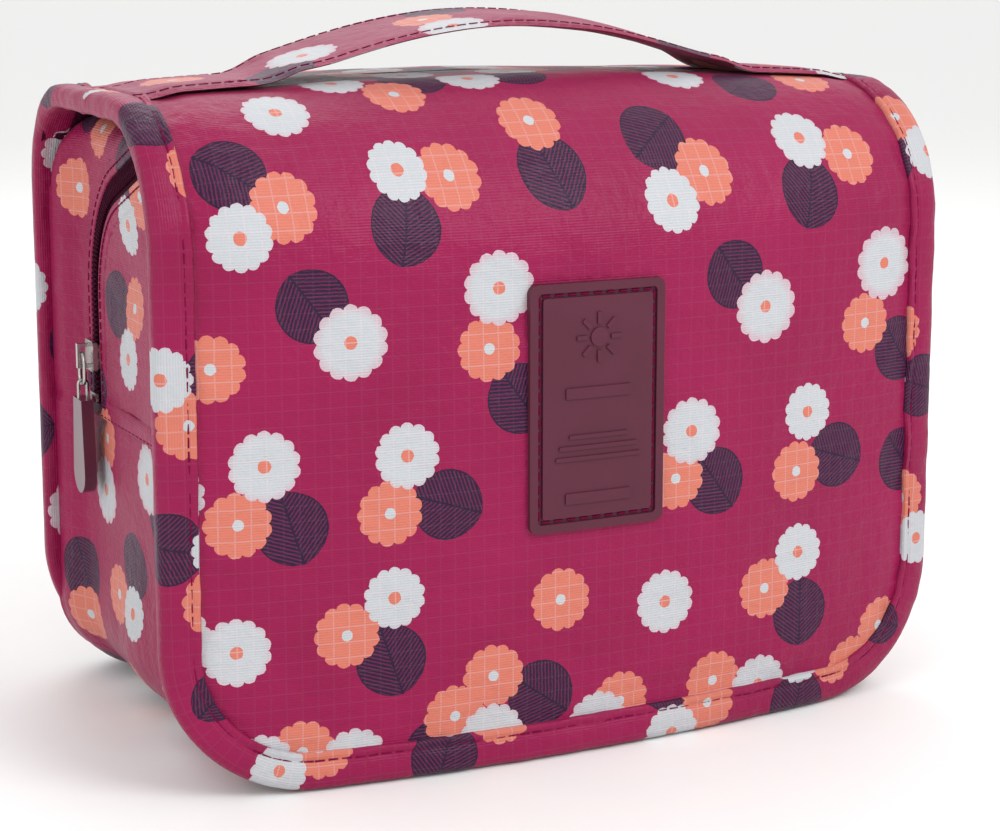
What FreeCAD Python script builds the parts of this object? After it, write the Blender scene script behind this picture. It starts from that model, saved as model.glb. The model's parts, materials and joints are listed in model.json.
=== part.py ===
"""Hanging toiletry bag: a zipped pouch in a padded wrap-round cover, with a carry handle and a pull-out hook.

Millimetres, +X to the right, +Y to the back, +Z up. The origin is the middle of the base. The cover is a back
panel, a top panel and a front flap, joined by two soft folds. The flap swings up and over to open the bag, and
the top panel lifts with it until all three hang in one plane from the hook.
"""
import FreeCAD
import Part

import math
import os

V = FreeCAD.Vector

# ---- driving dimensions ----
BAG_HALF_WIDTH = 120.0      # half the cover's width over its bindings
FRONT_EDGE_Y = -60.0        # plane of the flap's side edges, outer face
BACK_EDGE_Y = 64.0          # plane of the back panel's side edges, outer face
FRONT_BULGE = 12.0          # how far the flap bows out at its middle
BACK_BULGE = 10.2           # how far the back panel bows out at its middle
CORNER_RADIUS = 40.0        # lower corners of the flap and the back panel
TOP_Z = 181.0               # outer face of the top panel
PANEL_TOP_Z = 175.5         # upper edge of the flap and the back panel
FOLD_Z = 179.0              # height of both fold lines
FOLD_RADIUS = 1.5           # nose of each soft fold
BIG = 400.0                 # reach of a cutting tool, larger than the bag

# ---- cloth layers, from the outer face inwards ----
BINDING_SKIN = 0.8
BINDING_EDGE = 1.2
BINDING_WIDTH = 10.0
COVER_DEPTHS = (0.8, 1.6)
FOAM_DEPTHS = (1.6, 4.4)
LINING_DEPTHS = (4.4, 5.0)
PANEL_DEPTH = 5.8           # thickness over the binding

# ---- pouch ----
POUCH_HALF_WIDTH = 110.0
POUCH_FRONT_Y = -54.3
POUCH_TOP_Z = 174.0
POUCH_LOW_RADIUS = 26.0
POUCH_TOP_RADIUS = 9.0
POUCH_WALL = 1.5
SIDE_SEAM_Z = 88.5          # seam between the lower and the upper gusset

# ---- main zip, drawn on the side of the pouch in Y and Z ----
ZIP_START = (31.0, SIDE_SEAM_Z)
ZIP_RISE = 32.0             # straight, upwards
ZIP_TURN = (36.0, 70.0)     # radius and degrees of the bend towards the front
ZIP_SLANT = 20.5            # straight, between the bends
ZIP_LEVEL = (100.0, 20.0)   # radius and degrees of the bend to level
ZIP_HALF_WIDTH = 5.5
COIL_HALF_WIDTH = 2.4
COIL_GAP = 0.1
COIL_HEIGHT = 1.2
TAPE_INSET = 0.3            # the tape lies this far below the pouch's face

# ---- handle ----
HANDLE_HALF_WIDTH = 20.0
HANDLE_MIDDLE_Y = -7.0      # the strap is sewn on a little in front of the middle
HANDLE_THICKNESS = 2.6
HANDLE_APEX_Z = 204.5
HANDLE_RADIUS = 150.0
HANDLE_HALF_SPAN = 52.0     # half the length of the free part
HANDLE_GAP = 0.7
HANDLE_LANDING_X = 84.0     # where the strap reaches the top panel
HANDLE_END_X = 108.5

# ---- label ----
LABEL_HALF_WIDTH = 20.5
LABEL_Z = (64.0, 132.0)
LABEL_X = -0.5
LABEL_THICKNESS = 2.2
LABEL_RADIUS = 2.5

# ---- slider and pull ----
SLIDER_Z = 104.0
WIRE_RADIUS = 0.55
PULL_PIVOT_X = -114.7
PULL_PIVOT_Z = 104.5
PULL_LINK_Z = 95.2

# ---- hook ----
HOOK_Y = -60.0
HOOK_THICKNESS = 4.4
HOOK_LIMB = 2.5             # half the width of the hook's limb
HOOK_CENTRE_Z = 27.0
HOOK_RADIUS = 15.5          # to the middle of the limb
HOOK_NECK_DEG = 50.0
HOOK_TIP_DEG = 150.0
WEBBING_TOP_Z = 150.0
EYE_LOW_Z = 61.5
PIN_RADIUS = 1.5
PIN_CLEARANCE = 0.05

# ---- pocket in the flap ----
POCKET_HALF_WIDTH = 96.0
POCKET_Z = (54.0, 138.0)
POCKET_DEPTHS = (6.2, 6.8)
POCKET_ZIP_Z = 132.0
POCKET_SLIDER_DEG = 7.6     # how far round the bow the pocket slider is parked

# ---- touch fastener ----
PAD_X = (58.0, 86.0)
PAD_Z = (14.0, 32.0)
PAD_THICKNESS = 1.4


def box(x0, x1, y0, y1, z0, z1):
    return Part.makeBox(x1 - x0, y1 - y0, z1 - z0, V(x0, y0, z0))


def face_of(edges):
    return Part.Face(Part.Wire(edges))


def line(a, b):
    return Part.LineSegment(a, b).toShape()


def arc(a, b, c):
    return Part.Arc(a, b, c).toShape()


def save(name, *solids):
    """One STEP per sub-part, holding one or more separate solids."""
    whole = [s for shape in solids for s in shape.Solids]
    for s in whole:
        if not s.isValid() or s.Volume <= 0:
            raise RuntimeError("bad solid in " + name)
    shape = whole[0] if len(whole) == 1 else Part.makeCompound(whole)
    shape.exportStep(os.path.join("parts", name + ".step"))


def mirrored(shape):
    """The same shape on the other side of the bag's middle plane."""
    return shape.mirror(V(0, 0, 0), V(1, 0, 0))


# ---- panels bowed in plan ----
def bowed_slab(near, far, front=True):
    """A slab between two depths below the bowed outer face of the flap, or of the back panel."""
    edge_y, bulge, side = (FRONT_EDGE_Y, FRONT_BULGE, 1.0) if front else (BACK_EDGE_Y, BACK_BULGE, -1.0)
    radius = (BAG_HALF_WIDTH ** 2 + bulge ** 2) / (2 * bulge)
    centre_y = edge_y - side * bulge + side * radius
    low = -10.0

    def bow(depth):
        r = radius - depth
        half = BAG_HALF_WIDTH + 8.0

        def y_at(x):
            return centre_y - side * math.sqrt(r * r - x * x)
        return [V(x, y_at(x), low) for x in (-half, 0.0, half)]

    a, b = bow(near), bow(far)
    edges = [arc(*a), line(a[2], b[2]), arc(b[2], b[1], b[0]), line(b[0], a[0])]
    return face_of(edges).extrude(V(0, 0, BIG))


def outline(half_width, low, high, low_radius, high_radius=0.0):
    """A prism along Y with rounded lower corners and, if asked, rounded upper corners."""
    w, r, t, k = half_width, low_radius, high_radius, math.sqrt(0.5)
    y = -BIG / 2
    edges = [line(V(-w + r, y, low), V(w - r, y, low)),
             arc(V(w - r, y, low), V(w - r + r * k, y, low + r - r * k), V(w, y, low + r)),
             line(V(w, y, low + r), V(w, y, high - t))]
    if t:
        edges.append(arc(V(w, y, high - t), V(w - t + t * k, y, high - t + t * k), V(w - t, y, high)))
    edges.append(line(V(w - t, y, high), V(-w + t, y, high)))
    if t:
        edges.append(arc(V(-w + t, y, high), V(-w + t - t * k, y, high - t + t * k), V(-w, y, high - t)))
    edges += [line(V(-w, y, high - t), V(-w, y, low + r)),
              arc(V(-w, y, low + r), V(-w + r - r * k, y, low + r - r * k), V(-w + r, y, low))]
    return face_of(edges).extrude(V(0, BIG, 0))


def panel_outline(inset, high=PANEL_TOP_Z):
    return outline(BAG_HALF_WIDTH - inset, inset, high, CORNER_RADIUS - inset)


def make_panel(prefix, front):
    """Cover, foam, lining and binding of the flap or of the back panel."""
    for name, depths in (("cover", COVER_DEPTHS), ("foam", FOAM_DEPTHS), ("lining", LINING_DEPTHS)):
        layer = bowed_slab(*depths, front).common(panel_outline(BINDING_EDGE))
        save(prefix + "_" + name, layer)
    channel = bowed_slab(0.0, PANEL_DEPTH, front).common(panel_outline(0.0))
    groove = bowed_slab(BINDING_SKIN, LINING_DEPTHS[1], front).common(panel_outline(BINDING_EDGE, BIG))
    channel = channel.cut(groove).cut(panel_outline(BINDING_WIDTH, BIG))
    save(prefix + "_binding", channel)


# ---- top panel ----
TOP_FRONT_Y = FRONT_EDGE_Y + 3.0
TOP_BACK_Y = BACK_EDGE_Y - 3.0


def make_top():
    inner = BAG_HALF_WIDTH - BINDING_EDGE
    for name, (near, far) in (("cover", COVER_DEPTHS), ("foam", (1.6, 3.6)), ("lining", (3.6, 4.2))):
        save("top_" + name, box(-inner, inner, TOP_FRONT_Y, TOP_BACK_Y, TOP_Z - far, TOP_Z - near))
    left = box(-BAG_HALF_WIDTH, -BAG_HALF_WIDTH + BINDING_WIDTH, TOP_FRONT_Y, TOP_BACK_Y, TOP_Z - 5.0, TOP_Z)
    left = left.cut(box(-inner, 0, TOP_FRONT_Y - 1, TOP_BACK_Y + 1, TOP_Z - 4.2, TOP_Z - BINDING_SKIN))
    save("top_binding_left", left)
    save("top_binding_right", mirrored(left))
    for name, fold_y, panel_y in (("flap_fold", FRONT_EDGE_Y, TOP_FRONT_Y), ("back_fold", BACK_EDGE_Y, TOP_BACK_Y)):
        half = POUCH_HALF_WIDTH
        nose = Part.makeCylinder(FOLD_RADIUS, 2 * half, V(-half, fold_y, FOLD_Z), V(1, 0, 0))
        web = box(-half, half, min(fold_y, panel_y), max(fold_y, panel_y), FOLD_Z - FOLD_RADIUS, FOLD_Z + FOLD_RADIUS)
        save(name, nose.fuse(web).removeSplitter())


# ---- handle ----
def make_handle():
    front = HANDLE_MIDDLE_Y - HANDLE_HALF_WIDTH
    width = V(0, 2 * HANDLE_HALF_WIDTH, 0)
    centre_z = HANDLE_APEX_Z - HANDLE_RADIUS

    def top_of(x, thickness=0.0):
        r = HANDLE_RADIUS - thickness
        return V(x, front, centre_z + math.sqrt(r * r - x * x))

    s, t = HANDLE_HALF_SPAN, HANDLE_THICKNESS
    edges = [arc(top_of(-s), top_of(0), top_of(s)), line(top_of(s), top_of(s, t)),
             arc(top_of(s, t), top_of(0, t), top_of(-s, t)), line(top_of(-s, t), top_of(-s))]
    save("handle_strap", face_of(edges).extrude(width))
    start = s + HANDLE_GAP
    rim, under = top_of(start), top_of(start, t)
    points = [V(-HANDLE_END_X, front, TOP_Z), V(-HANDLE_END_X, front, TOP_Z + t),
              V(-HANDLE_LANDING_X + 2.0, front, TOP_Z + t), V(-rim.x, front, rim.z), V(-under.x, front, under.z),
              V(-HANDLE_LANDING_X + 3.5, front, TOP_Z)]
    wire = Part.makePolygon(points + points[:1])
    end = Part.Face(wire).extrude(width)
    save("handle_end_left", end)
    save("handle_end_right", mirrored(end))


# ---- pouch and its zip ----
def track_point(y, z, heading, offset):
    """A point of the zip's track, moved to the side by the offset: backwards and up is positive."""
    a = math.radians(heading)
    return (y + offset * math.sin(a), z - offset * math.cos(a))


def zip_band(low, high):
    """A prism along X, over the whole bag, between two offsets from the zip's track."""
    y, z = ZIP_START
    z1 = z + ZIP_RISE
    r1, turn = ZIP_TURN
    r2, level = ZIP_LEVEL

    def edge(offset):
        """Corner and mid-arc points along one edge of the band."""
        pts = [track_point(y, z, 90, offset), track_point(y, z1, 90, offset)]
        c1 = (y - r1, z1)
        for a in (turn / 2, turn):
            rad = math.radians(a)
            pts.append((c1[0] + (r1 + offset) * math.cos(rad), c1[1] + (r1 + offset) * math.sin(rad)))
        heading = math.radians(90 + turn)
        ey = c1[0] + r1 * math.cos(math.radians(turn)) + ZIP_SLANT * math.cos(heading)
        ez = c1[1] + r1 * math.sin(math.radians(turn)) + ZIP_SLANT * math.sin(heading)
        c2 = (ey - r2 * math.cos(math.radians(turn)), ez - r2 * math.sin(math.radians(turn)))
        for a in (turn, turn + level / 2, turn + level):
            rad = math.radians(a)
            pts.append((c2[0] + (r2 + offset) * math.cos(rad), c2[1] + (r2 + offset) * math.sin(rad)))
        pts.append((FRONT_EDGE_Y - 20.0, pts[-1][1]))
        return [V(-BIG / 2, p[0], p[1]) for p in pts]

    a, b = edge(low), edge(high)
    edges = []
    for p in (a, b):
        edges += [line(p[0], p[1]), arc(p[1], p[2], p[3]), line(p[3], p[4]), arc(p[4], p[5], p[6]), line(p[6], p[7])]
    edges += [line(a[0], b[0]), line(a[7], b[7])]
    return face_of(Part.__sortEdges__(edges)).extrude(V(BIG, 0, 0)), a[6].z, b[6].z


def pouch_prism(inset):
    return outline(POUCH_HALF_WIDTH - inset, inset, POUCH_TOP_Z - inset,
                   POUCH_LOW_RADIUS - inset, POUCH_TOP_RADIUS - inset)


def pouch_ring(outer, inner):
    """The gusset between two insets, from behind the front panel to the back panel."""
    ring = pouch_prism(outer).cut(pouch_prism(inner))
    ring = ring.common(box(-BIG, BIG, POUCH_FRONT_Y, BACK_EDGE_Y + BACK_BULGE, -BIG, BIG))
    return ring.cut(bowed_slab(-BIG / 4, PANEL_DEPTH, False))


def pouch_front(near, far):
    """The pouch's front between two depths, inside the gusset's outline."""
    slab = box(-BIG, BIG, POUCH_FRONT_Y + near, POUCH_FRONT_Y + far, -BIG, BIG)
    return slab.common(pouch_prism(POUCH_WALL))


def make_pouch():
    gusset = pouch_ring(0.0, POUCH_WALL)
    front = pouch_front(0.0, POUCH_WALL)
    slot, slot_low, slot_high = zip_band(-ZIP_HALF_WIDTH, ZIP_HALF_WIDTH)
    half = BIG / 2
    below = box(-half, half, -half, half, -half, SIDE_SEAM_Z)
    save("lower_gusset", gusset.common(below))
    upper = gusset.cut(below).cut(slot)
    above_slot, _, _ = zip_band(ZIP_HALF_WIDTH, BIG / 4)
    rear = upper.common(above_slot.fuse(box(-half, half, ZIP_START[0], half, 0, half)))
    save("upper_gusset", rear, front.common(box(-half, half, -half, half, slot_high, half)))
    save("side_strips", upper.cut(above_slot).cut(box(-half, half, ZIP_START[0], half, 0, half)))
    save("pouch_front", front.common(box(-half, half, -half, half, -half, slot_low)))
    make_main_zip()


def make_main_zip():
    tape_wall = pouch_ring(TAPE_INSET, POUCH_WALL - 0.2)
    tape_front = pouch_front(TAPE_INSET, POUCH_WALL - 0.2)
    coil_wall = pouch_ring(-(COIL_HEIGHT - TAPE_INSET), TAPE_INSET)
    coil_front = box(-BIG, BIG, POUCH_FRONT_Y - COIL_HEIGHT + TAPE_INSET, POUCH_FRONT_Y + TAPE_INSET, -BIG, BIG)
    coil_front = coil_front.common(pouch_prism(POUCH_WALL))
    sides = (("rear", COIL_GAP / 2, 1.0), ("front", -COIL_GAP / 2, -1.0))
    for name, inner, sign in sides:
        tape, _, _ = zip_band(inner, sign * ZIP_HALF_WIDTH)
        coil, _, _ = zip_band(inner, sign * COIL_HALF_WIDTH)
        save("zip_tape_" + name, tape_wall.common(tape), tape_front.common(tape))
        save("zip_coil_" + name, coil_wall.common(coil), coil_front.common(coil))
    y, z = ZIP_START
    stop = box(-POUCH_HALF_WIDTH - 1.8, -POUCH_HALF_WIDTH - 0.9, y - 3.0, y + 3.0, z + 1.5, z + 4.0)
    save("zip_stops", stop, mirrored(stop))


# ---- slider and pull ----
def racetrack(half_long, bend, wire):
    """A wire loop in the YZ plane about the origin: two half circles and two straights."""
    ends = []
    for side in (1, -1):
        a, b = V(0, bend, side * half_long), V(0, -bend, side * half_long)
        ends.append(arc(a, V(0, 0, side * (half_long + bend)), b))
    path = Part.Wire(Part.__sortEdges__(ends + [line(V(0, bend, half_long), V(0, bend, -half_long)),
                                               line(V(0, -bend, half_long), V(0, -bend, -half_long))]))
    ring = Part.Wire(Part.makeCircle(wire, V(0, bend, 0), V(0, 0, 1)))
    start = path.Vertexes[0].Point
    ring.translate(V(0, start.y - bend, start.z))
    return path.makePipeShell([ring], True, False)


def make_slider():
    y, z = ZIP_START[0], SLIDER_Z
    face = -POUCH_HALF_WIDTH
    plate = box(face - 2.5, face - 1.2, y - 4.4, y + 4.4, z - 5.0, z + 4.0)
    plate = plate.makeFillet(1.2, [e for e in plate.Edges if e.Length < 1.4])
    cheeks = [box(face - 1.3, face + 0.1, y + s * 3.6 - 0.6, y + s * 3.6 + 0.6, z - 4.0, z + 3.0) for s in (-1, 1)]
    bail = box(face - 6.2, face - 2.4, y - 0.9, y + 0.9, z - 4.0, z + 3.2)
    bail = bail.cut(box(face - 5.4, face - 2.5, y - 1, y + 1, z - 3.0, z + 2.2))
    body = plate.fuse(cheeks + [bail]).removeSplitter()
    save("zip_slider", body)
    bend = 2.7
    half_long = (PULL_PIVOT_Z - PULL_LINK_Z) / 2 - bend
    loop = racetrack(half_long, bend, WIRE_RADIUS)
    loop.translate(V(PULL_PIVOT_X, y, (PULL_PIVOT_Z + PULL_LINK_Z) / 2))
    save("pull_ring", loop)
    make_pull_tab(y)


def make_pull_tab(y):
    """A wire clip over the ring's lower end, and the moulded tab that grips it."""
    prong = 1.25
    top = PULL_LINK_Z
    low = 86.5
    x = PULL_PIVOT_X
    clip_path = Part.Wire([line(V(x - prong, y, low), V(x - prong, y, top)),
                           arc(V(x - prong, y, top), V(x, y, top + prong), V(x + prong, y, top)),
                           line(V(x + prong, y, top), V(x + prong, y, low))])
    wire = 0.5
    section = Part.Wire(Part.makeCircle(wire, V(x - prong, y, low), V(0, 0, 1)))
    clip = clip_path.makePipeShell([section], True, False)
    tab_top, tab_low = 91.0, 63.0
    shoulder, belly = 4.4, 6.2
    belly_z = tab_low + belly
    tab_edges = [line(V(0, -shoulder, tab_top), V(0, shoulder, tab_top)),
                 line(V(0, shoulder, tab_top), V(0, belly, belly_z)),
                 arc(V(0, belly, belly_z), V(0, 0, tab_low), V(0, -belly, belly_z)),
                 line(V(0, -belly, belly_z), V(0, -shoulder, tab_top))]
    thick = 3.6
    tab = face_of(tab_edges).extrude(V(thick, 0, 0))
    tab.translate(V(x - thick / 2, y, 0))
    save("pull_clip", clip)
    save("pull_tab", tab.cut(clip))


# ---- label ----
def label_block(half_width, low, high, radius, near, far):
    block = outline_plain(LABEL_X, half_width, low, high, radius)
    return bowed_slab(near, far).common(block)


def outline_plain(x, half_width, low, high, radius):
    """A rounded rectangle, drawn in X and Z, as a prism through the flap."""
    depth = 60.0
    block = box(x - half_width, x + half_width, FRONT_EDGE_Y - depth, FRONT_EDGE_Y, low, high)
    uprights = [e for e in block.Edges if abs(e.Length - depth) < 1e-6]
    return block.makeFillet(radius, uprights)


def make_label():
    """A moulded patch with a raised rim, a sewing groove, a sun emblem and plain bars."""
    low, high = LABEL_Z
    skin = COVER_DEPTHS[0]
    body = label_block(LABEL_HALF_WIDTH, low, high, LABEL_RADIUS, skin - LABEL_THICKNESS, skin)
    groove = label_block(LABEL_HALF_WIDTH - 2.4, low + 2.4, high - 2.4, 1.2, -6.0, skin - LABEL_THICKNESS + 0.9)
    island = label_block(LABEL_HALF_WIDTH - 3.8, low + 3.8, high - 3.8, 0.8, -6.0, skin)
    body = body.cut(groove.cut(island))
    face = skin - LABEL_THICKNESS
    relief = []
    for z, half, tall in ((102.0, 10.0, 3.0), (90.0, 9.0, 1.1), (87.0, 12.0, 1.1), (84.0, 13.0, 1.1), (73.0, 10.0, 3.0)):
        relief.append(label_block(half, z - tall / 2, z + tall / 2, 0.4, face - 0.5, face + 0.2))
    sun_z = 117.0
    disc = Part.makeCylinder(2.6, 60.0, V(LABEL_X, FRONT_EDGE_Y - 60.0, sun_z), V(0, 1, 0))
    relief.append(bowed_slab(face - 0.5, face + 0.2).common(disc))
    rays = 8
    for n in range(rays):
        ray = box(LABEL_X + 3.6, LABEL_X + 6.8, FRONT_EDGE_Y - 60.0, FRONT_EDGE_Y, sun_z - 0.6, sun_z + 0.6)
        ray.rotate(V(LABEL_X, 0, sun_z), V(0, 1, 0), n * 360.0 / rays)
        relief.append(bowed_slab(face - 0.5, face + 0.2).common(ray))
    save("label_patch", body.fuse(relief).removeSplitter())


# ---- what the flap holds inside ----
def make_flap_inside():
    low, high = POCKET_Z
    half = POCKET_HALF_WIDTH
    mesh_zone = box(-half, half, -BIG / 4, 0, low, POCKET_ZIP_Z - 4.0)
    save("flap_pocket_mesh", bowed_slab(*POCKET_DEPTHS).common(mesh_zone))
    frame = box(-half, half, -BIG / 4, 0, low, high).cut(box(-half + 4, half - 4, -BIG / 4, 0, low + 4, high - 4))
    save("flap_pocket_edging", bowed_slab(LINING_DEPTHS[1], POCKET_DEPTHS[0]).common(frame))
    for name, z0, z1 in (("lower", POCKET_ZIP_Z - 4.0, POCKET_ZIP_Z - 0.05),
                         ("upper", POCKET_ZIP_Z + 0.05, POCKET_ZIP_Z + 4.0)):
        tape = bowed_slab(*POCKET_DEPTHS).common(box(-half, half, -BIG / 4, 0, z0, z1))
        near = POCKET_ZIP_Z - 1.6 if name == "lower" else z0
        far = z1 if name == "lower" else POCKET_ZIP_Z + 1.6
        coil = bowed_slab(POCKET_DEPTHS[1], POCKET_DEPTHS[1] + 0.8).common(
            box(-half + 6, half - 6, -BIG / 4, 0, near, far))
        save("pocket_zip_" + name, tape, coil)
    pad_depths = (LINING_DEPTHS[1], LINING_DEPTHS[1] + PAD_THICKNESS)
    pad = bowed_slab(*pad_depths).common(box(PAD_X[0], PAD_X[1], -BIG / 4, 0, PAD_Z[0], PAD_Z[1]))
    save("closure_hook_pads", pad, mirrored(pad))


def make_pocket_slider():
    """The slider and pull of the flap's pocket zip, built at the middle and turned round the bow to the left."""
    radius = (BAG_HALF_WIDTH ** 2 + FRONT_BULGE ** 2) / (2 * FRONT_BULGE)
    bow_centre_y = FRONT_EDGE_Y - FRONT_BULGE + radius
    z = POCKET_ZIP_Z
    y0 = bow_centre_y - (radius - POCKET_DEPTHS[1] - 0.8) + 0.35
    body = box(-3.5, 3.5, y0, y0 + 1.0, z - 2.8, z + 2.8)
    body = body.makeFillet(1.0, [e for e in body.Edges if abs(e.Length - 1.0) < 1e-6])
    pin_y = y0 + 1.75
    lug = box(-1.6, 1.6, y0 + 0.9, y0 + 2.6, z - 0.7, z + 0.7)
    lug = lug.cut(Part.makeCylinder(0.5, 4, V(0, pin_y, z - 2), V(0, 0, 1)))
    slider = body.fuse(lug).removeSplitter()
    tab = box(-0.9, 15.0, pin_y - 0.45, pin_y + 0.45, z - 2.2, z + 2.2)
    window = box(-2.0, 4.5, pin_y - 1, pin_y + 1, z - 1.1, z + 1.1)
    pin = Part.makeCylinder(0.42, 3.0, V(0, pin_y, z - 1.5), V(0, 0, 1))
    pull = tab.cut(window).fuse(pin).removeSplitter()
    for name, shape in (("pocket_slider", slider), ("pocket_pull", pull)):
        shape.rotate(V(0, bow_centre_y, 0), V(0, 0, 1), -POCKET_SLIDER_DEG)
        save(name, shape)
    print("bow centre y", round(bow_centre_y, 3), "pull pin y at the middle", round(pin_y, 3))


# ---- hook ----
def make_hook():
    t, y0 = HOOK_THICKNESS, HOOK_Y - HOOK_THICKNESS / 2
    neck = math.radians(HOOK_NECK_DEG)
    neck_radius = HOOK_RADIUS * math.cos(neck) / (1 - math.cos(neck))
    stem_z = HOOK_CENTRE_Z + HOOK_RADIUS * math.sin(neck) + neck_radius * math.sin(neck)
    tip = math.radians(HOOK_TIP_DEG)

    def on_bend(a, r):
        return V(r * math.cos(a), y0, HOOK_CENTRE_Z + r * math.sin(a))

    def on_neck(a, side):
        """The neck bends the other way, so its inner edge is the bend's outer edge."""
        r = neck_radius - side
        return V(neck_radius - r * math.cos(a), y0, stem_z - r * math.sin(a))

    edges = []
    for side in (HOOK_LIMB, -HOOK_LIMB):
        r = HOOK_RADIUS + side
        bottom = (neck + tip - 2 * math.pi) / 2
        edges.append(arc(on_bend(neck, r), on_bend(bottom, r), on_bend(tip, r)))
        edges.append(arc(on_neck(0, side), on_neck(neck / 2, side), on_neck(neck, side)))
    edges.append(line(on_neck(0, HOOK_LIMB), on_neck(0, -HOOK_LIMB)))
    a, b = on_bend(tip, HOOK_RADIUS + HOOK_LIMB), on_bend(tip, HOOK_RADIUS - HOOK_LIMB)
    middle = on_bend(tip, HOOK_RADIUS)
    end = V(middle.x - HOOK_LIMB * math.sin(tip) * -1, y0, middle.z + HOOK_LIMB * math.cos(tip) * -1)
    edges.append(arc(a, end, b))
    hook = face_of(Part.__sortEdges__(edges)).extrude(V(0, t, 0))
    pin = Part.makeCylinder(PIN_RADIUS, EYE_LOW_Z + 4.2 - stem_z + 1.0, V(0, HOOK_Y, stem_z - 1.0))
    head = Part.makeCylinder(2.4, 1.8, V(0, HOOK_Y, EYE_LOW_Z + 3.2))
    save("hook", hook.fuse([pin, head]).removeSplitter())

    low = EYE_LOW_Z
    eye = box(-11.5, 11.5, HOOK_Y - 3.2, HOOK_Y + 3.2, low, low + 15.5)
    eye = eye.makeFillet(2.5, [e for e in eye.Edges if abs(e.Length - 6.4) < 1e-6])
    eye = eye.cut(Part.makeCylinder(PIN_RADIUS + PIN_CLEARANCE, 6.0, V(0, HOOK_Y, low - 1.0)))
    eye = eye.cut(box(-3.0, 3.0, HOOK_Y - 4, HOOK_Y + 4, low + 3.0, low + 7.2))
    eye = eye.cut(box(-9.4, 9.4, HOOK_Y - 4, HOOK_Y + 4, low + 10.0, low + 13.0))
    save("hook_eye", eye)
    width, cloth = 9.0, 1.0
    loop_low, loop_high = low + 11.4, low + 21.0
    half = 3.6
    strap = box(-width, width, HOOK_Y - half, HOOK_Y + half, loop_low, loop_high)
    inside = (-width, width, HOOK_Y - half + cloth, HOOK_Y + half - cloth, loop_low + cloth, loop_high - cloth)
    tail = box(-width, width, HOOK_Y - cloth, HOOK_Y + cloth, loop_high - cloth, WEBBING_TOP_Z)
    strap = strap.cut(box(*inside)).fuse(tail).cut(box(*inside)).removeSplitter().cut(eye)
    save("hook_webbing", strap)
    bar = box(-12.0, 12.0, HOOK_Y - 1.8, HOOK_Y + 1.8, WEBBING_TOP_Z - 4.0, WEBBING_TOP_Z)
    save("webbing_stop", bar.cut(strap))


def make_keeper():
    """An elastic band sewn to the flap that holds the tucked-in hook."""
    low, high = 84.0, 100.0
    back = HOOK_Y + 2.6
    band = box(-14.0, 14.0, back, back + 0.8, low, high)
    legs = []
    for s in (-1, 1):
        leg = box(min(s * 14.0, s * 13.2), max(s * 14.0, s * 13.2), -BIG / 4, back + 0.8, low, high)
        legs.append(leg.cut(bowed_slab(-BIG / 4, POCKET_DEPTHS[1])))
    save("hook_keeper", band.fuse(legs).removeSplitter())


# ---- what the pouch carries outside and inside ----
def make_pouch_pockets():
    y = POUCH_FRONT_Y
    low, high, inner, outer = 38.0, 120.0, 20.0, 104.0
    gap, mesh = 1.0, 0.6
    pocket = box(inner, outer, y - gap - mesh, y, low, high)
    pocket = pocket.cut(box(inner + 3, outer - 3, y - gap, y, low + 3, high + 1))
    elastic = box(inner, outer, y - gap - mesh - 0.8, y - gap - mesh, high - 8.0, high)
    for name, shape in (("slip_pocket", pocket), ("slip_elastic", elastic)):
        save(name + "_right", shape)
        save(name + "_left", mirrored(shape))
    pad = box(PAD_X[0], PAD_X[1], y - PAD_THICKNESS, y, PAD_Z[0], PAD_Z[1])
    save("closure_loop_pads", pad, mirrored(pad))
    back = 55.0
    inside = box(-96, 96, back, back + 1.6, 8, 92).cut(box(-92, 92, back + 0.6, back + 1.6, 12, 93))
    save("inner_pocket", inside)
    save("inner_elastic", box(-96, 96, back - 0.8, back, 84, 92))


def main():
    os.makedirs("parts", exist_ok=True)
    make_panel("flap", True)
    make_panel("back", False)
    make_top()
    make_handle()
    make_pouch()
    make_slider()
    make_label()
    make_flap_inside()
    make_pocket_slider()
    make_hook()
    make_keeper()
    make_pouch_pockets()


main()
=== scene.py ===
import json
import math
import bpy
from mathutils import Matrix, Vector, noise


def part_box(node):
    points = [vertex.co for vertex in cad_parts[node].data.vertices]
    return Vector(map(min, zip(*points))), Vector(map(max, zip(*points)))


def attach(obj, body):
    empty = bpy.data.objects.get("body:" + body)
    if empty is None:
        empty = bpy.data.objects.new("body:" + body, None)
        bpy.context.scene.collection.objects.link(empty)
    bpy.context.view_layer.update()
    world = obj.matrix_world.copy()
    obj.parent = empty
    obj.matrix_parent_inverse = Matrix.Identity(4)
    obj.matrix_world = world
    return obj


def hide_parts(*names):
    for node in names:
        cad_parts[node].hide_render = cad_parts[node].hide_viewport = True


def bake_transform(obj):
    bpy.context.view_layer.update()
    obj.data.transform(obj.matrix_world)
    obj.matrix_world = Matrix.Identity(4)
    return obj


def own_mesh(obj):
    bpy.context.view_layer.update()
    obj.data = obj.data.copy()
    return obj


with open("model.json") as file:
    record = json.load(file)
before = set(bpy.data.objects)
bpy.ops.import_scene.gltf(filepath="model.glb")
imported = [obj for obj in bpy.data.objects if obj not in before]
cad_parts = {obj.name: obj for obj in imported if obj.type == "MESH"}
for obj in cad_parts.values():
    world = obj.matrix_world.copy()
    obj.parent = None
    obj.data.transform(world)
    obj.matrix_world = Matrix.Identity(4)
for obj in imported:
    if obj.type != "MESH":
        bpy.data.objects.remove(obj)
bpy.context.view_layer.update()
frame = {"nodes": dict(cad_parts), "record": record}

mm = 0.001
joints = {j["name"]: j for j in frame["record"]["behaviour"]["joints"]}
flapFold = Vector(joints["flap_fold"]["pos_m"])
topFold = Vector(joints["top_fold"]["pos_m"])
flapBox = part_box("flap_binding")
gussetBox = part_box("lower_gusset")
halfWidth = flapBox[1][0]
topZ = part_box("top_binding_left")[1][2]


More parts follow.
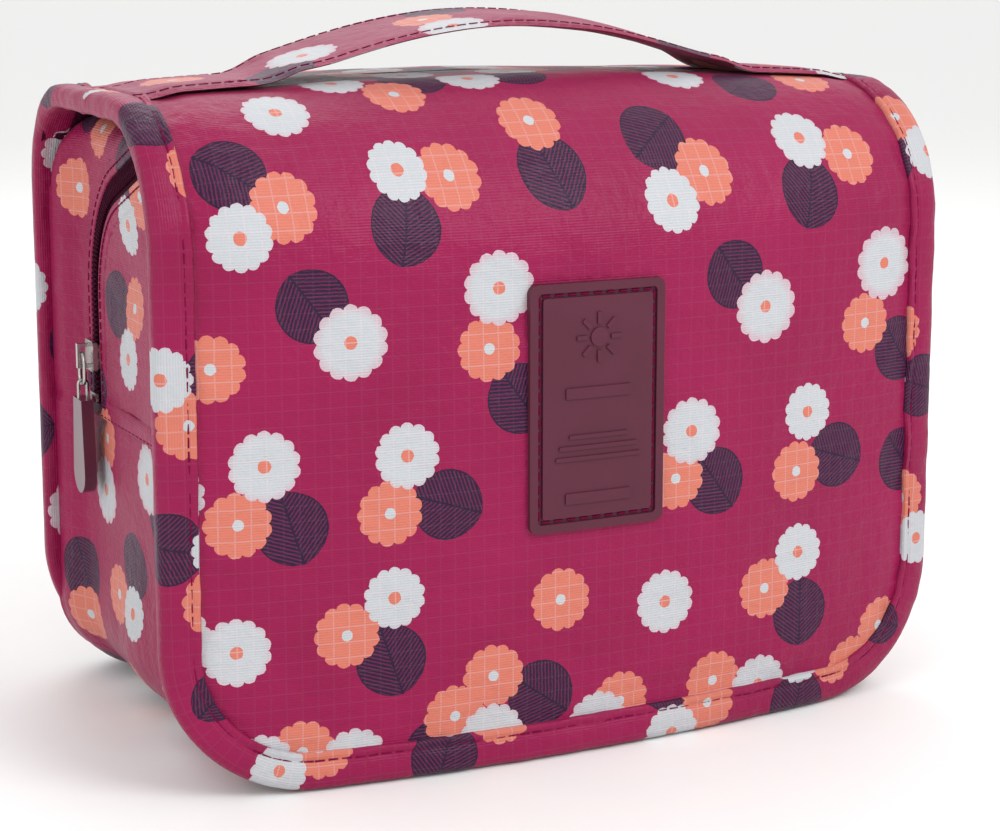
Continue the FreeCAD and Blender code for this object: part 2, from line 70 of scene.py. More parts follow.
# camera, lights and floor; turns are in degrees, places in metres
view = {"place": (-0.272, -0.5767, 0.2171), "turn": 25.67, "tilt": 9.38, "lens": 77.6, "shift": -0.10}
studio = {
    "keyLight": {"place": (0.45, -1.0, 1.05), "size": 0.7, "watts": 9},
    "fillLight": {"place": (-1.2, -0.5, 0.55), "size": 1.0, "watts": 3.5},
    "rimLight": {"place": (0.2, 0.9, 1.1), "size": 0.9, "watts": 4},
}
lampsAim = (0, 0, 0.09)
surroundings = {"light": 0.95, "floorSize": 30, "floorZ": -0.0006}


def aimCamera():
    heading = (math.radians(90 - view["tilt"]), 0, math.radians(-view["turn"]))
    bpy.ops.object.camera_add(location=view["place"], rotation=heading)
    camera = bpy.context.object
    camera.name = "camera"
    camera.data.lens = view["lens"]
    camera.data.sensor_width = 36
    camera.data.shift_y = view["shift"]
    camera.data.clip_start = 0.01
    bpy.context.scene.camera = camera


def hangLamp(name, lampSize):
    bpy.ops.object.light_add(type="AREA", location=lampSize["place"])
    lamp = bpy.context.object
    lamp.name = name
    lamp.data.shape = "DISK"
    lamp.data.size = lampSize["size"]
    lamp.data.energy = lampSize["watts"]
    lamp.rotation_euler = (Vector(lampsAim) - Vector(lampSize["place"])).to_track_quat("-Z", "Y").to_euler()


def addStudio(cloth):
    for name, lampSize in studio.items():
        hangLamp(name, lampSize)
    world = bpy.context.scene.world or bpy.data.worlds.new("studio")
    bpy.context.scene.world = world
    world.use_nodes = True
    background = world.node_tree.nodes["Background"]
    background.inputs["Color"].default_value = (1, 1, 1, 1)
    background.inputs["Strength"].default_value = surroundings["light"]
    bpy.context.scene.view_settings.view_transform = "Standard"
    bpy.ops.mesh.primitive_plane_add(size=surroundings["floorSize"], location=(0, 0, surroundings["floorZ"]))
    floor = bpy.context.object
    floor.name = "floor"
    floor.data.materials.append(cloth["floor"])
    print("studio")


# materials
def linear(hexColour):
    parts = [int(hexColour[i:i + 2], 16) / 255 for i in (0, 2, 4)]
    return [c / 12.92 if c <= 0.04045 else ((c + 0.055) / 1.055) ** 2.4 for c in parts] + [1.0]


def add(tree, kind, settings=None, **links):
    # adds one node; a link's value is a socket, a number or a colour, and _0, _1 name sockets by number
    node = tree.nodes.new(kind)
    for key, value in (settings or {}).items():
        setattr(node, key, value)
    for key, value in links.items():
        socket = node.inputs[int(key[1:])] if key[0] == "_" else node.inputs[key.replace("_", " ")]
        if isinstance(value, bpy.types.NodeSocket):
            tree.links.new(value, socket)
        else:
            socket.default_value = value
    return node


def newMaterial(name, **shader):
    material = bpy.data.materials.new(name)
    material.use_nodes = True
    tree = material.node_tree
    body = tree.nodes["Principled BSDF"]
    for key, value in shader.items():
        body.inputs[key.replace("_", " ")].default_value = value
    return material, tree, body


def maths(tree, operation, a, b=0.0, c=0.0):
    return add(tree, "ShaderNodeMath", {"operation": operation}, _0=a, _1=b, _2=c).outputs[0]


def blendColour(tree, factor, a, b):
    node = add(tree, "ShaderNodeMix", {"data_type": "RGBA"}, _0=factor, _6=a, _7=b)
    return node.outputs[2]


def bumped(tree, body, height, distance, strength=1.0, below=None):
    links = {"Height": height, "Distance": distance, "Strength": strength}
    if below is not None:
        links["Normal"] = below
    out = add(tree, "ShaderNodeBump", None, **links).outputs[0]
    if body is not None:
        tree.links.new(out, body.inputs["Normal"])
    return out


# Screen print on the shell cloth: scalloped white and coral flowers and dark leaves.
# Places are in mm on the unrolled cover: across from the middle, then down from the handle's line.
# Most of them were worked out by a camera fit outside this script and rounded; the rest were added by eye.
# A white flower's third figure is how much larger it is, and a leaf's is how far round it is turned.
printRepeat = {
    "across": 240.0, "down": 205.0, "firstDown": 20.0,
    "white": [(-98, 77, -0.07), (-53, 62, -0.12), (25, 73, -0.08), (74, 58, -0.04), (-70, 105, 0.10),
              (-29, 93, 0.10), (55, 104, 0.14), (99, 95, 0.18), (-93, 136, 0.03), (-55, 136, -0.03),
              (30, 137, 0.04), (71, 136, -0.08), (-101, 185), (-59, 174, -0.08), (22, 185),
              (68, 177, -0.08), (-70, 218), (-31, 216), (55, 215), (-80, 42), (-58, 25), (-18, 27),
              (47, 29), (-95, 217), (1, 217), (-117, 143), (-116, 181)],
    "coral": [(-86, 70), (-39, 64), (-10, 50), (38, 66), (89, 63), (-32, 109), (92, 112), (-106, 110),
              (-100, 151), (-60, 151), (25, 150), (67, 153), (-72, 183), (-11, 180), (56, 186),
              (101, 205), (90, 215), (-84, 214), (-31, 199), (-42, 209), (8, 212), (39, 211),
              (-44, 36), (90, 31)],
    "leaf": [(-98, 61, 0.40), (-54, 76, 0.72), (-9, 64, 0.80), (26, 56, 0.10), (72, 73, 0.70),
             (-80, 95, 0.35), (-23, 123, 0.85), (44, 94, 0.35), (106, 121, 0.85), (-86, 153, 0.80),
             (-44, 150, 0.95), (38, 152, 0.85), (82, 150, 0.95), (109, 155, 0.85), (-60, 191, 0.80),
             (69, 195, 0.75), (-17, 206, 0.90), (-47, 219, 0.15), (53, 220, 0.10), (-35, 27, 0.60),
             (-3, 25, 0.05), (68, 35, 0.60)],
    "whiteSize": 9.2, "coralSize": 8.9, "whiteLobes": 14, "coralLobes": 13, "whiteEye": 1.75, "coralEye": 1.5,
    "fringe": (7.4, 9.6), "ragged": 0.5,
}
leafShape = {"long": 10.2, "wide": 9.6, "veinPitch": 0.62, "veinGap": 0.37, "spine": 0.3, "margin": 0.45}


def nearestMotif(tree, point, spots):
    # walks through the motif places and keeps the one nearest to the point being shaded
    centre, best = None, None
    for spot in spots:
        place = (spot[0], spot[1], spot[2] if len(spot) > 2 else 0.0)
        gap = add(tree, "ShaderNodeVectorMath", {"operation": "DISTANCE"}, _0=point, _1=place)
        away = gap.outputs["Value"]
        if best is None:
            centre = add(tree, "ShaderNodeCombineXYZ", None, X=place[0], Y=place[1], Z=place[2]).outputs[0]
            best = away
            continue
        nearer = maths(tree, "LESS_THAN", away, best)
        choice = add(tree, "ShaderNodeMix", {"data_type": "VECTOR"}, _0=nearer, _4=centre, _5=place)
        centre = choice.outputs[1]
        best = maths(tree, "MINIMUM", away, best)
    return centre


def flowerMask(tree, point, spots, radius, lobes):
    # a round flower with scalloped petals; returns the mask and the distance from its middle
    centre = nearestMotif(tree, point, spots)
    arm = add(tree, "ShaderNodeVectorMath", {"operation": "SUBTRACT"}, _0=point, _1=centre).outputs[0]
    xyz = add(tree, "ShaderNodeSeparateXYZ", None, _0=arm)
    turn = maths(tree, "ARCTAN2", xyz.outputs[1], xyz.outputs[0])
    lobe = maths(tree, "ABSOLUTE", maths(tree, "SINE", maths(tree, "MULTIPLY", turn, lobes / 2)))
    rim = maths(tree, "MULTIPLY_ADD", maths(tree, "POWER", lobe, 0.6), radius * 0.13, radius * 0.87)
    larger = add(tree, "ShaderNodeSeparateXYZ", None, _0=centre).outputs[2]
    rim = maths(tree, "MULTIPLY", rim, maths(tree, "ADD", larger, 1.0))
    flat = add(tree, "ShaderNodeCombineXYZ", None, X=xyz.outputs[0], Y=xyz.outputs[1])
    away = add(tree, "ShaderNodeVectorMath", {"operation": "LENGTH"}, _0=flat.outputs[0]).outputs["Value"]
    return maths(tree, "LESS_THAN", away, rim), away


def leafMask(tree, point, spots):
    # a broad leaf with a pointed tip, and the slanting veins on both sides of its spine
    centre = nearestMotif(tree, point, spots)
    arm = add(tree, "ShaderNodeVectorMath", {"operation": "SUBTRACT"}, _0=point, _1=centre).outputs[0]
    share = add(tree, "ShaderNodeSeparateXYZ", None, _0=centre).outputs[2]
    turn = maths(tree, "MULTIPLY", share, 2 * math.pi)
    spun = add(tree, "ShaderNodeVectorRotate", {"rotation_type": "Z_AXIS"}, Vector=arm, Angle=turn).outputs[0]
    xyz = add(tree, "ShaderNodeSeparateXYZ", None, _0=spun)
    along = maths(tree, "DIVIDE", xyz.outputs[0], leafShape["long"])
    wide = maths(tree, "ABSOLUTE", xyz.outputs[1])
    room = maths(tree, "SUBTRACT", 1.0, maths(tree, "POWER", maths(tree, "ABSOLUTE", along), 2.1))
    outline = maths(tree, "POWER", maths(tree, "MAXIMUM", room, 0.0), 0.62)
    edge = maths(tree, "MULTIPLY", outline, leafShape["wide"])
    mask = maths(tree, "LESS_THAN", wide, edge)
    slant = maths(tree, "MULTIPLY_ADD", wide, 0.75, xyz.outputs[0])
    wave = maths(tree, "PINGPONG", slant, leafShape["veinPitch"])
    gap = maths(tree, "GREATER_THAN", wave, leafShape["veinGap"])
    spine = maths(tree, "GREATER_THAN", wide, leafShape["spine"])
    tip = maths(tree, "LESS_THAN", wide, maths(tree, "SUBTRACT", edge, leafShape["margin"]))
    vein = maths(tree, "MULTIPLY", maths(tree, "MULTIPLY", gap, spine), tip)
    return mask, vein


clothColours = {"ground": "9A0E4D", "groundDeep": "7F0A3C", "white": "B9BDC1", "coral": "CA7260",
                "leaf": "22102E", "vein": "5C1C44", "fringe": "C48C9C"}


def printGroup():
    # the whole print as one group, with millimetres in and colour out, shared by every printed cloth
    tree = bpy.data.node_groups.new("flowerPrint", "ShaderNodeTree")
    tree.interface.new_socket("Place", in_out="INPUT", socket_type="NodeSocketVector")
    tree.interface.new_socket("Colour", in_out="OUTPUT", socket_type="NodeSocketColor")
    tree.interface.new_socket("Ink", in_out="OUTPUT", socket_type="NodeSocketFloat")
    hue = {name: linear(value) for name, value in clothColours.items()}
    motif = printRepeat
    entry = tree.nodes.new("NodeGroupInput").outputs[0]
    xyz = add(tree, "ShaderNodeSeparateXYZ", None, _0=entry)
    half = motif["across"] / 2
    low = motif["firstDown"]
    across = maths(tree, "WRAP", xyz.outputs[0], half, -half)
    down = maths(tree, "WRAP", xyz.outputs[1], low + motif["down"], low)
    # the ink's ragged edge
    wobble = add(tree, "ShaderNodeTexNoise", None, Vector=entry, Scale=0.9, Detail=2.0)
    ragged = maths(tree, "MULTIPLY_ADD", wobble.outputs[0], motif["ragged"], -motif["ragged"] / 2)
    point = add(tree, "ShaderNodeCombineXYZ", None, X=maths(tree, "ADD", across, ragged),
                Y=maths(tree, "ADD", down, ragged)).outputs[0]
    shade = add(tree, "ShaderNodeTexNoise", None, Vector=entry, Scale=0.02, Detail=3.0).outputs[0]
    colour = blendColour(tree, shade, hue["ground"], hue["groundDeep"])
    leaf, vein = leafMask(tree, point, motif["leaf"])
    colour = blendColour(tree, leaf, colour, blendColour(tree, vein, hue["leaf"], hue["vein"]))
    coral, away = flowerMask(tree, point, motif["coral"], motif["coralSize"], motif["coralLobes"])
    eye = maths(tree, "LESS_THAN", away, motif["coralEye"])
    colour = blendColour(tree, coral, colour, blendColour(tree, eye, hue["coral"], hue["white"]))
    white, away = flowerMask(tree, point, motif["white"], motif["whiteSize"], motif["whiteLobes"])
    fringe = add(tree, "ShaderNodeMapRange", None, Value=away, From_Min=motif["fringe"][0],
                 From_Max=motif["fringe"][1], To_Max=0.5).outputs[0]
    eye = maths(tree, "LESS_THAN", away, motif["whiteEye"])
    whiteColour = blendColour(tree, eye, blendColour(tree, fringe, hue["white"], hue["fringe"]), hue["coral"])
    colour = blendColour(tree, white, colour, whiteColour)
    leave = tree.nodes.new("NodeGroupOutput")
    tree.links.new(colour, leave.inputs[0])
    ink = maths(tree, "MAXIMUM", white, maths(tree, "MULTIPLY", coral, 0.6))
    tree.links.new(ink, leave.inputs[1])
    return tree


# Polyester ripstop, 210 denier, calendered: a satin gloss, fine ribs across, and a raised thread each 4 mm.
# The ribs are drawn 0.7 mm apart, coarser than real ones, so that they show.
ripstop = {"thread": 0.7, "grid": 4.2, "gridWidth": 0.42, "gridColour": "D8C6CE", "shadow": "4A0A28",
           "crinkle": 0.0028, "weave": 0.00007, "rough": (0.36, 0.5)}


def printedRipstop(name, shift, group, paintedShade):
    # shift moves the print, in mm, and the last figure darkens the whole piece a little with painted shade
    material, tree, body = newMaterial(name, Roughness=0.43, IOR=1.5, Sheen_Weight=0.04, Sheen_Roughness=0.4,
                                       Specular_IOR_Level=0.2)
    uv = add(tree, "ShaderNodeUVMap", {"uv_map": "cloth"}).outputs[0]
    inMm = add(tree, "ShaderNodeMapping", None, Vector=uv, Scale=(1000, 1000, 1000),
               Location=(shift[0], shift[1], 0)).outputs[0]
    pattern = add(tree, "ShaderNodeGroup", {"node_tree": group}, Place=inMm)
    xyz = add(tree, "ShaderNodeSeparateXYZ", None, _0=inMm)
    lines = []
    for way in (0, 1):
        place = maths(tree, "PINGPONG", xyz.outputs[way], ripstop["grid"] / 2)
        lines.append(maths(tree, "LESS_THAN", place, ripstop["gridWidth"] / 2))
    grid = maths(tree, "MAXIMUM", lines[0], lines[1])
    gridInk = maths(tree, "MULTIPLY", grid, maths(tree, "MULTIPLY_ADD", pattern.outputs[1], 0.26, 0.014))
    inked = blendColour(tree, gridInk, pattern.outputs[0], linear(ripstop["gridColour"]))
    rib = maths(tree, "SINE", maths(tree, "MULTIPLY", xyz.outputs[1], 2 * math.pi / ripstop["thread"]))
    # painted shade: the dark shadow colour is mixed in along the rib grooves and over the whole piece as it is
    # darkened
    ribShade = maths(tree, "MULTIPLY_ADD", rib, 0.05, 0.05 + paintedShade)
    colour = blendColour(tree, ribShade, inked, linear(ripstop["shadow"]))
    tree.links.new(colour, body.inputs["Base Color"])
    crinkle = add(tree, "ShaderNodeTexNoise", None, Vector=inMm, Scale=0.09, Detail=4.0, Roughness=0.55)
    soft = bumped(tree, None, crinkle.outputs[0], ripstop["crinkle"], 0.6)
    weave = maths(tree, "MULTIPLY_ADD", grid, 0.6, maths(tree, "MULTIPLY", rib, 0.5))
    bumped(tree, body, weave, ripstop["weave"], 0.7, soft)
    worn = add(tree, "ShaderNodeTexNoise", None, Vector=inMm, Scale=0.05, Detail=2.0).outputs[0]
    smooth, dull = ripstop["rough"]
    gloss = add(tree, "ShaderNodeMapRange", None, Value=worn, To_Min=smooth, To_Max=dull)
    tree.links.new(gloss.outputs[0], body.inputs["Roughness"])
    return material


def wovenCloth(name, colour, darker, thread, roughness=0.75):
    # plain weave seen as crossed threads; thread is the spacing in mm, drawn coarse enough to show
    material, tree, body = newMaterial(name, Roughness=roughness, Sheen_Weight=0.01, Specular_IOR_Level=0.03)
    place = add(tree, "ShaderNodeTexCoord").outputs["Object"]
    xyz = add(tree, "ShaderNodeSeparateXYZ", None, _0=place)
    step = 2 * math.pi / (thread * mm)
    waves = [maths(tree, "SINE", maths(tree, "MULTIPLY", xyz.outputs[i], step)) for i in (0, 1, 2)]
    weave = maths(tree, "MULTIPLY", maths(tree, "ADD", waves[0], waves[1]), waves[2])
    tone = maths(tree, "MULTIPLY_ADD", weave, 0.2, 0.5)
    tree.links.new(blendColour(tree, tone, linear(darker), linear(colour)), body.inputs["Base Color"])
    bumped(tree, body, weave, 0.0001, 0.8)
    return material


def plainSurface(name, colour, other, grain, depth, **shader):
    # cast or moulded surface: a little colour drift and a fine grain of the given size in mm
    material, tree, body = newMaterial(name, **shader)
    place = add(tree, "ShaderNodeTexCoord").outputs["Object"]
    drift = add(tree, "ShaderNodeTexNoise", None, Vector=place, Scale=60.0, Detail=3.0).outputs[0]
    tree.links.new(blendColour(tree, drift, linear(colour), linear(other)), body.inputs["Base Color"])
    fine = add(tree, "ShaderNodeTexNoise", None, Vector=place, Scale=1000.0 / grain, Detail=2.0).outputs[0]
    bumped(tree, body, fine, depth * mm, 0.6)
    return material


knit = {"pitch": 2.4, "hole": 0.3, "colour": "6B1740", "shade": "2A0A1A"}


def knittedMesh(name):
    # warp-knit nylon: thin yarn round open holes, 2.4 mm apart
    material, tree, body = newMaterial(name, Roughness=0.7, Sheen_Weight=0.05, Specular_IOR_Level=0.2)
    uv = add(tree, "ShaderNodeUVMap", {"uv_map": "cloth"}).outputs[0]
    scale = 1000 / knit["pitch"]
    inHoles = add(tree, "ShaderNodeMapping", None, Vector=uv, Scale=(scale, scale, 1)).outputs[0]
    cells = add(tree, "ShaderNodeTexVoronoi", {"voronoi_dimensions": "2D"}, Vector=inHoles, Scale=1.0,
                Randomness=0.0)
    cover = maths(tree, "GREATER_THAN", cells.outputs["Distance"], knit["hole"])
    yarn = blendColour(tree, cover, linear(knit["shade"]), linear(knit["colour"]))
    tree.links.new(yarn, body.inputs["Base Color"])
    tree.links.new(maths(tree, "MULTIPLY_ADD", cover, 0.9, 0.1), body.inputs["Alpha"])
    bumped(tree, body, cover, 0.0003, 0.7)
    return material


# where each printed piece is cut from the cloth: the shift of its print in mm, and how much painted shade
# darkens it
printCuts = {
    "cover": ("printedRipstopPolyester", (0.0, 0.0), 0.0),
    "gusset": ("printedRipstopGusset", (-55.0, 135.0), 0.03),
    "pouchFront": ("printedRipstopPouchFront", (0.0, 200.0), 0.02),
    "binding": ("printedRipstopBinding", (30.0, 60.0), 0.05),
    "strap": ("printedRipstopStrap", (-9.0, 89.0), 0.02),
    "rear": ("printedRipstopBack", (0.0, 0.0), 0.0),
}


def makeMaterials():
    group = printGroup()
    cloth = {}
    for key, (name, shift, paintedShade) in printCuts.items():
        cloth[key] = printedRipstop(name, shift, group, paintedShade)
    # spun and woven polyester: dull, with the threads just showing
    cloth["thread"] = wovenCloth("spunPolyesterThread", "8A1348", "6A0E37", 0.4, 0.6)
    cloth["lining"] = wovenCloth("polyesterTaffetaLining", "4C1230", "360A20", 0.6, 0.5)
    cloth["tape"] = wovenCloth("herringboneZipTape", "401024", "2A0916", 0.8)
    cloth["webbing"] = wovenCloth("polyesterWebbing", "4A1129", "2D0A19", 1.6)
    cloth["elastic"] = wovenCloth("ribbedElastic", "47102A", "2B0818", 1.2)
    cloth["hookTape"] = wovenCloth("nylonTouchTape", "3C0E22", "220612", 0.9, 0.9)
    cloth["mesh"] = knittedMesh("warpKnitMesh")
    # nylon monofilament, wound and set: dark and nearly without gloss at this size
    cloth["coil"] = plainSurface("nylonCoil", "3C0A22", "2A0717", 0.3, 0.02, Roughness=0.7,
                                 Specular_IOR_Level=0.03)
    # die-cast zinc with a bright nickel plate: a metal mirror, softened by fine casting grain
    cloth["nickel"] = plainSurface("nickelPlatedZinc", "B9B7B4", "A3A19E", 0.4, 0.004, Metallic=1.0,
                                   Roughness=0.24)
    # soft PVC from an open mould: a dull rubbery face
    cloth["label"] = plainSurface("softMouldedPvc", "582336", "4D1D2E", 0.25, 0.03, Roughness=0.5,
                                  Specular_IOR_Level=0.25)
    # hard plastic from a polished mould: a clear gloss
    cloth["pull"] = plainSurface("mouldedPullTab", "5A2338", "4C1B2E", 0.3, 0.01, Roughness=0.3, IOR=1.5,
                                 Coat_Weight=0.2, Coat_Roughness=0.2)
    cloth["acetal"] = plainSurface("mouldedAcetalHook", "3B1022", "330C1D", 0.3, 0.02, Roughness=0.38,
                                   IOR=1.48)
    cloth["floor"] = plainSurface("paintedStudioFloor", "F5F5F4", "F2F2F1", 2.0, 0.01, Roughness=0.6)
    print("materials")
    return cloth


# shaping helpers
def clothGrid(name, cols, rows, place, flat, outward):
    # a subdivided grid laid over a surface: place gives the spot and flat the cloth's own measure, in metres
    bpy.ops.object.select_all(action="DESELECT")
    bpy.ops.mesh.primitive_grid_add(x_subdivisions=cols, y_subdivisions=rows, size=2)
    piece = bpy.context.object
    piece.name = name
    mesh = piece.data
    mesh.name = name
    spots = [((v.co.x + 1) / 2, (v.co.y + 1) / 2) for v in mesh.vertices]
    layer = mesh.uv_layers.active
    layer.name = "cloth"
    for loop in mesh.loops:
        layer.data[loop.index].uv = flat(*spots[loop.vertex_index])
    for vertex, spot in zip(mesh.vertices, spots):
        vertex.co = place(*spot)
    mesh.update()
    facing = sum(p.normal.dot(outward(p.center)) * p.area for p in mesh.polygons)
    if facing < 0:
        mesh.flip_normals()
    return piece


def weldEdges(piece):
    bpy.context.view_layer.objects.active = piece
    bpy.ops.object.mode_set(mode="EDIT")
    bpy.ops.mesh.select_all(action="SELECT")
    bpy.ops.mesh.remove_doubles(threshold=0.02 * mm)
    bpy.ops.object.mode_set(mode="OBJECT")


def thicken(piece, thickness, inner=None):
    # gives a sheet its wall, inwards, with its own cloth on the inner side
    bpy.context.view_layer.objects.active = piece
    wall = piece.modifiers.new("wall", "SOLIDIFY")
    wall.thickness = thickness
    wall.offset = -1
    wall.use_quality_normals = True
    if inner is not None:
        piece.data.materials.append(inner)
        wall.material_offset = 1
        wall.material_offset_rim = 1
    bpy.ops.object.modifier_apply(modifier=wall.name)


def smoothed(piece, angle=60):
    bpy.ops.object.select_all(action="DESELECT")
    piece.select_set(True)
    bpy.context.view_layer.objects.active = piece
    bpy.ops.object.shade_smooth_by_angle(angle=math.radians(angle))


def repeated(name, model, placements):
    # copies one modelled shape to many places as a single mesh; the model is removed after
    points, faces = [], []
    source = model.data
    for move in placements:
        first = len(points)
        points += [move @ v.co for v in source.vertices]
        faces += [[first + i for i in p.vertices] for p in source.polygons]
    mesh = bpy.data.meshes.new(name)
    mesh.from_pydata([tuple(p) for p in points], [], faces)
    mesh.uv_layers.new(name="cloth")
    mesh.shade_smooth()
    piece = bpy.data.objects.new(name, mesh)
    bpy.context.collection.objects.link(piece)
    bpy.data.objects.remove(model)
    return piece


def pinModel(length, radius):
    # one stitch or zip tooth: a ball of few faces, drawn out along X
    bpy.ops.object.select_all(action="DESELECT")
    bpy.ops.mesh.primitive_uv_sphere_add(segments=6, ring_count=5, radius=radius)
    model = bpy.context.object
    bpy.ops.object.mode_set(mode="EDIT")
    bpy.ops.mesh.select_all(action="SELECT")
    bpy.ops.transform.rotate(value=math.pi / 2, orient_axis="Y", center_override=(0, 0, 0))
    bpy.ops.object.mode_set(mode="OBJECT")
    for vertex in model.data.vertices:
        if abs(vertex.co.x) > radius * 0.1:
            vertex.co.x += math.copysign(length / 2 - radius, vertex.co.x)
    return model


def standOn(place, along, normal):
    # the move that lays a pin at a place, along a line, with its top to the normal
    along = along.normalized()
    side = normal.cross(along).normalized()
    up = along.cross(side)
    move = Matrix((along, side, up)).transposed().to_4x4()
    move.translation = place
    return move


def finishPiece(piece, material, body=None):
    if piece.data.materials:
        piece.data.materials[0] = material
    else:
        piece.data.materials.append(material)
    if body:
        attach(piece, body)


def eased(x):
    # 0 below 0 and 1 above 1, with a smooth rise between
    x = min(1.0, max(0.0, x))
    return x * x * (3 - 2 * x)


def softNoise(x, y, seed):
    # smooth bumps by chance, about -1 to 1, the same on each run
    return noise.noise(Vector((x, y, seed)))


# the wrap-round cover: one padded panel in front and one at the back, both sewn under the handle
frontCover = {"word": "front", "edge": flapFold.y, "way": -1, "shoulder": 0.038, "bow": 0.012, "corner": 0.040,
              "seed": 3.0, "cells": 120, "cloth": "cover", "bodies": ("top_panel", "front_flap"),
              "panelNodes": ("flap_cover", "flap_foam", "flap_lining", "flap_fold", "top_cover", "top_foam",
                             "top_lining"),
              "bindingNodes": ("flap_binding", "top_binding_left", "top_binding_right")}
rearCover = {"word": "rear", "edge": topFold.y, "way": 1, "shoulder": 0.030, "bow": 0.0102, "corner": 0.040,
             "seed": 11.0, "cells": 110, "cloth": "rear", "bodies": ("bag_body", "top_panel"),
             "panelNodes": ("back_cover", "back_foam", "back_lining", "back_fold"),
             "bindingNodes": ("back_binding",)}
coverWall = {"panel": 0.0044, "binding": 0.0004, "crown": 0.0042, "tuckIn": 0.0012, "bindingSteps": 340}
coverSeam = {"inset": 0.0080, "depth": -0.00098, "pitch": 0.0036, "stitch": 0.0028, "thread": 0.00026}
labelRows = (0.108, 0.200)   # the label is sewn down between these rows of the cover, so no creases there
# how the cover's cloth lies: bumps to the metre across and down and their height, then heights and reaches
coverCloth = {"folds": (16, 13, 0.0011), "wrinkles": (45, 38, 0.00045), "puckers": (150, 150, 0.0009),
              "puckerFrom": 0.008, "puckerReach": 0.016, "hemDip": 0.0010, "crease": 0.0019,
              "creaseReach": 0.026, "creaseSides": 0.06, "calmEdge": 0.02}

for side in (frontCover, rearCover):
    side["flat"] = abs(side["edge"]) - side["shoulder"]
    side["turn"] = side["shoulder"] * math.pi / 2
    side["length"] = side["flat"] + side["turn"] + topZ - side["shoulder"]
    side["bowRadius"] = (halfWidth ** 2 + side["bow"] ** 2) / (2 * side["bow"])


def coverInset(side, u, s):
    # how far a spot on the unrolled cover is inside its outline
    r = side["corner"]
    x = halfWidth - abs(u)
    y = side["length"] - s
    if x < r and y < r:
        return r - math.hypot(r - x, r - y)
    return min(x, y)


def coverBow(z):
    # how much of the cover's outward bow has come in at this height: none on top, all of it down the panel
    return eased((topZ - 0.004 - z) / 0.045 + 0.12)


def bowSag(side, x):
    # how far the bowed panel falls back from its middle, this far across
    return side["bowRadius"] - math.sqrt(side["bowRadius"] ** 2 - min(x * x, halfWidth ** 2))


def shoulderCreases(side, u, s):
    # slanting pulls in the cloth where it turns over the shoulder, strongest near the sides
    near = math.exp(-((s - side["flat"] - side["turn"] * 0.75) / coverCloth["creaseReach"]) ** 2)
    reach = math.exp(-((halfWidth - abs(u)) / coverCloth["creaseSides"]) ** 2) * 0.8 + 0.2
    slant = s * 0.75 + abs(u) * 0.35
    wave = softNoise(slant * 150, (abs(u) - s) * 22, side["seed"] + math.copysign(3, u))
    return (max(0.0, wave) ** 1.3 - 0.12) * coverCloth["crease"] * near * reach


def clothBumps(kind, u, s, seed):
    across, down, height = coverCloth[kind]
    return softNoise(u * across, s * down, seed) * height


def coverSpot(side, u, s, depth):
    # a spot on the cover: u across, s from the handle's line over the shoulder and down, depth under the face
    r, way = side["shoulder"], side["way"]
    if s < side["flat"]:
        y, z, ny, nz = s, topZ, 0.0, 1.0
    elif s < side["flat"] + side["turn"]:
        a = (s - side["flat"]) / r
        ny, nz = math.sin(a), math.cos(a)
        y, z = side["flat"] + r * ny, topZ - r + r * nz
    else:
        y, z, ny, nz = side["flat"] + r, topZ - r - (s - side["flat"] - side["turn"]), 1.0, 0.0
    w = min(1.0, abs(u) / halfWidth)
    bow = (side["bow"] - bowSag(side, u)) * coverBow(z)
    crown = coverWall["crown"] * (1 - w ** 2.2) * eased(nz * 1.2) * (0.55 + 0.45 * eased(1 - s / 0.07))
    soft = clothBumps("folds", u, s, side["seed"]) + clothBumps("wrinkles", u, s, side["seed"] + 5)
    soft += shoulderCreases(side, u, s)
    inset = coverInset(side, u, s)
    fade = eased(1 - (inset - coverCloth["puckerFrom"]) / coverCloth["puckerReach"])
    pucker = clothBumps("puckers", u, s, side["seed"] + 9) * fade * eased((inset - 0.006) / 0.004)
    underLabel = way < 0 and labelRows[0] < s < labelRows[1]
    calm = eased((abs(u - 0.002) - 0.02) / 0.02) if underLabel else 1.0
    dip = coverCloth["hemDip"] * (1 - eased((inset - 0.0085) / 0.012))
    off = -depth - dip + soft * calm * eased(inset / coverCloth["calmEdge"]) + pucker
    return Vector((u, way * (y + bow + ny * off), z + crown + nz * off))


def coverOutward(centre):
    return Vector((0, centre.y, centre.z - 0.09)).normalized()


def coverPanel(name, side):
    # the panel stops just inside the binding, with the flap's round corners
    inset = coverWall["tuckIn"]
    half, length, r = halfWidth - inset, side["length"] - inset, side["corner"] - inset

    def unrolled(a, b):
        s = length * b
        room = length - s
        wide = half - r + math.sqrt(max(0.0, r * r - (r - room) ** 2)) if room < r else half
        return (2 * a - 1) * wide, s

    return clothGrid(name, side["cells"], side["cells"], lambda a, b: coverSpot(side, *unrolled(a, b), 0.0),
                     unrolled, coverOutward)


def outlineSpot(side, t, inset):
    # walks round the cover's outline: down one side, along the bottom and up the other
    r = side["corner"]
    down = side["length"] - r
    turn = r * math.pi / 2
    across = 2 * (halfWidth - r)
    if t < down:
        return -halfWidth + inset, t
    if t < down + turn:
        a = (t - down) / r
        return -halfWidth + r - (r - inset) * math.cos(a), down + (r - inset) * math.sin(a)
    if t < down + turn + across:
        return -halfWidth + r + t - down - turn, side["length"] - inset
    if t < down + 2 * turn + across:
        a = (t - down - turn - across) / r
        return halfWidth - r + (r - inset) * math.sin(a), down + (r - inset) * math.cos(a)
    return halfWidth - inset, 2 * down + 2 * turn + across - t


def outlineLength(side):
    r = side["corner"]
    return 2 * (side["length"] - r) + math.pi * r + 2 * (halfWidth - r)


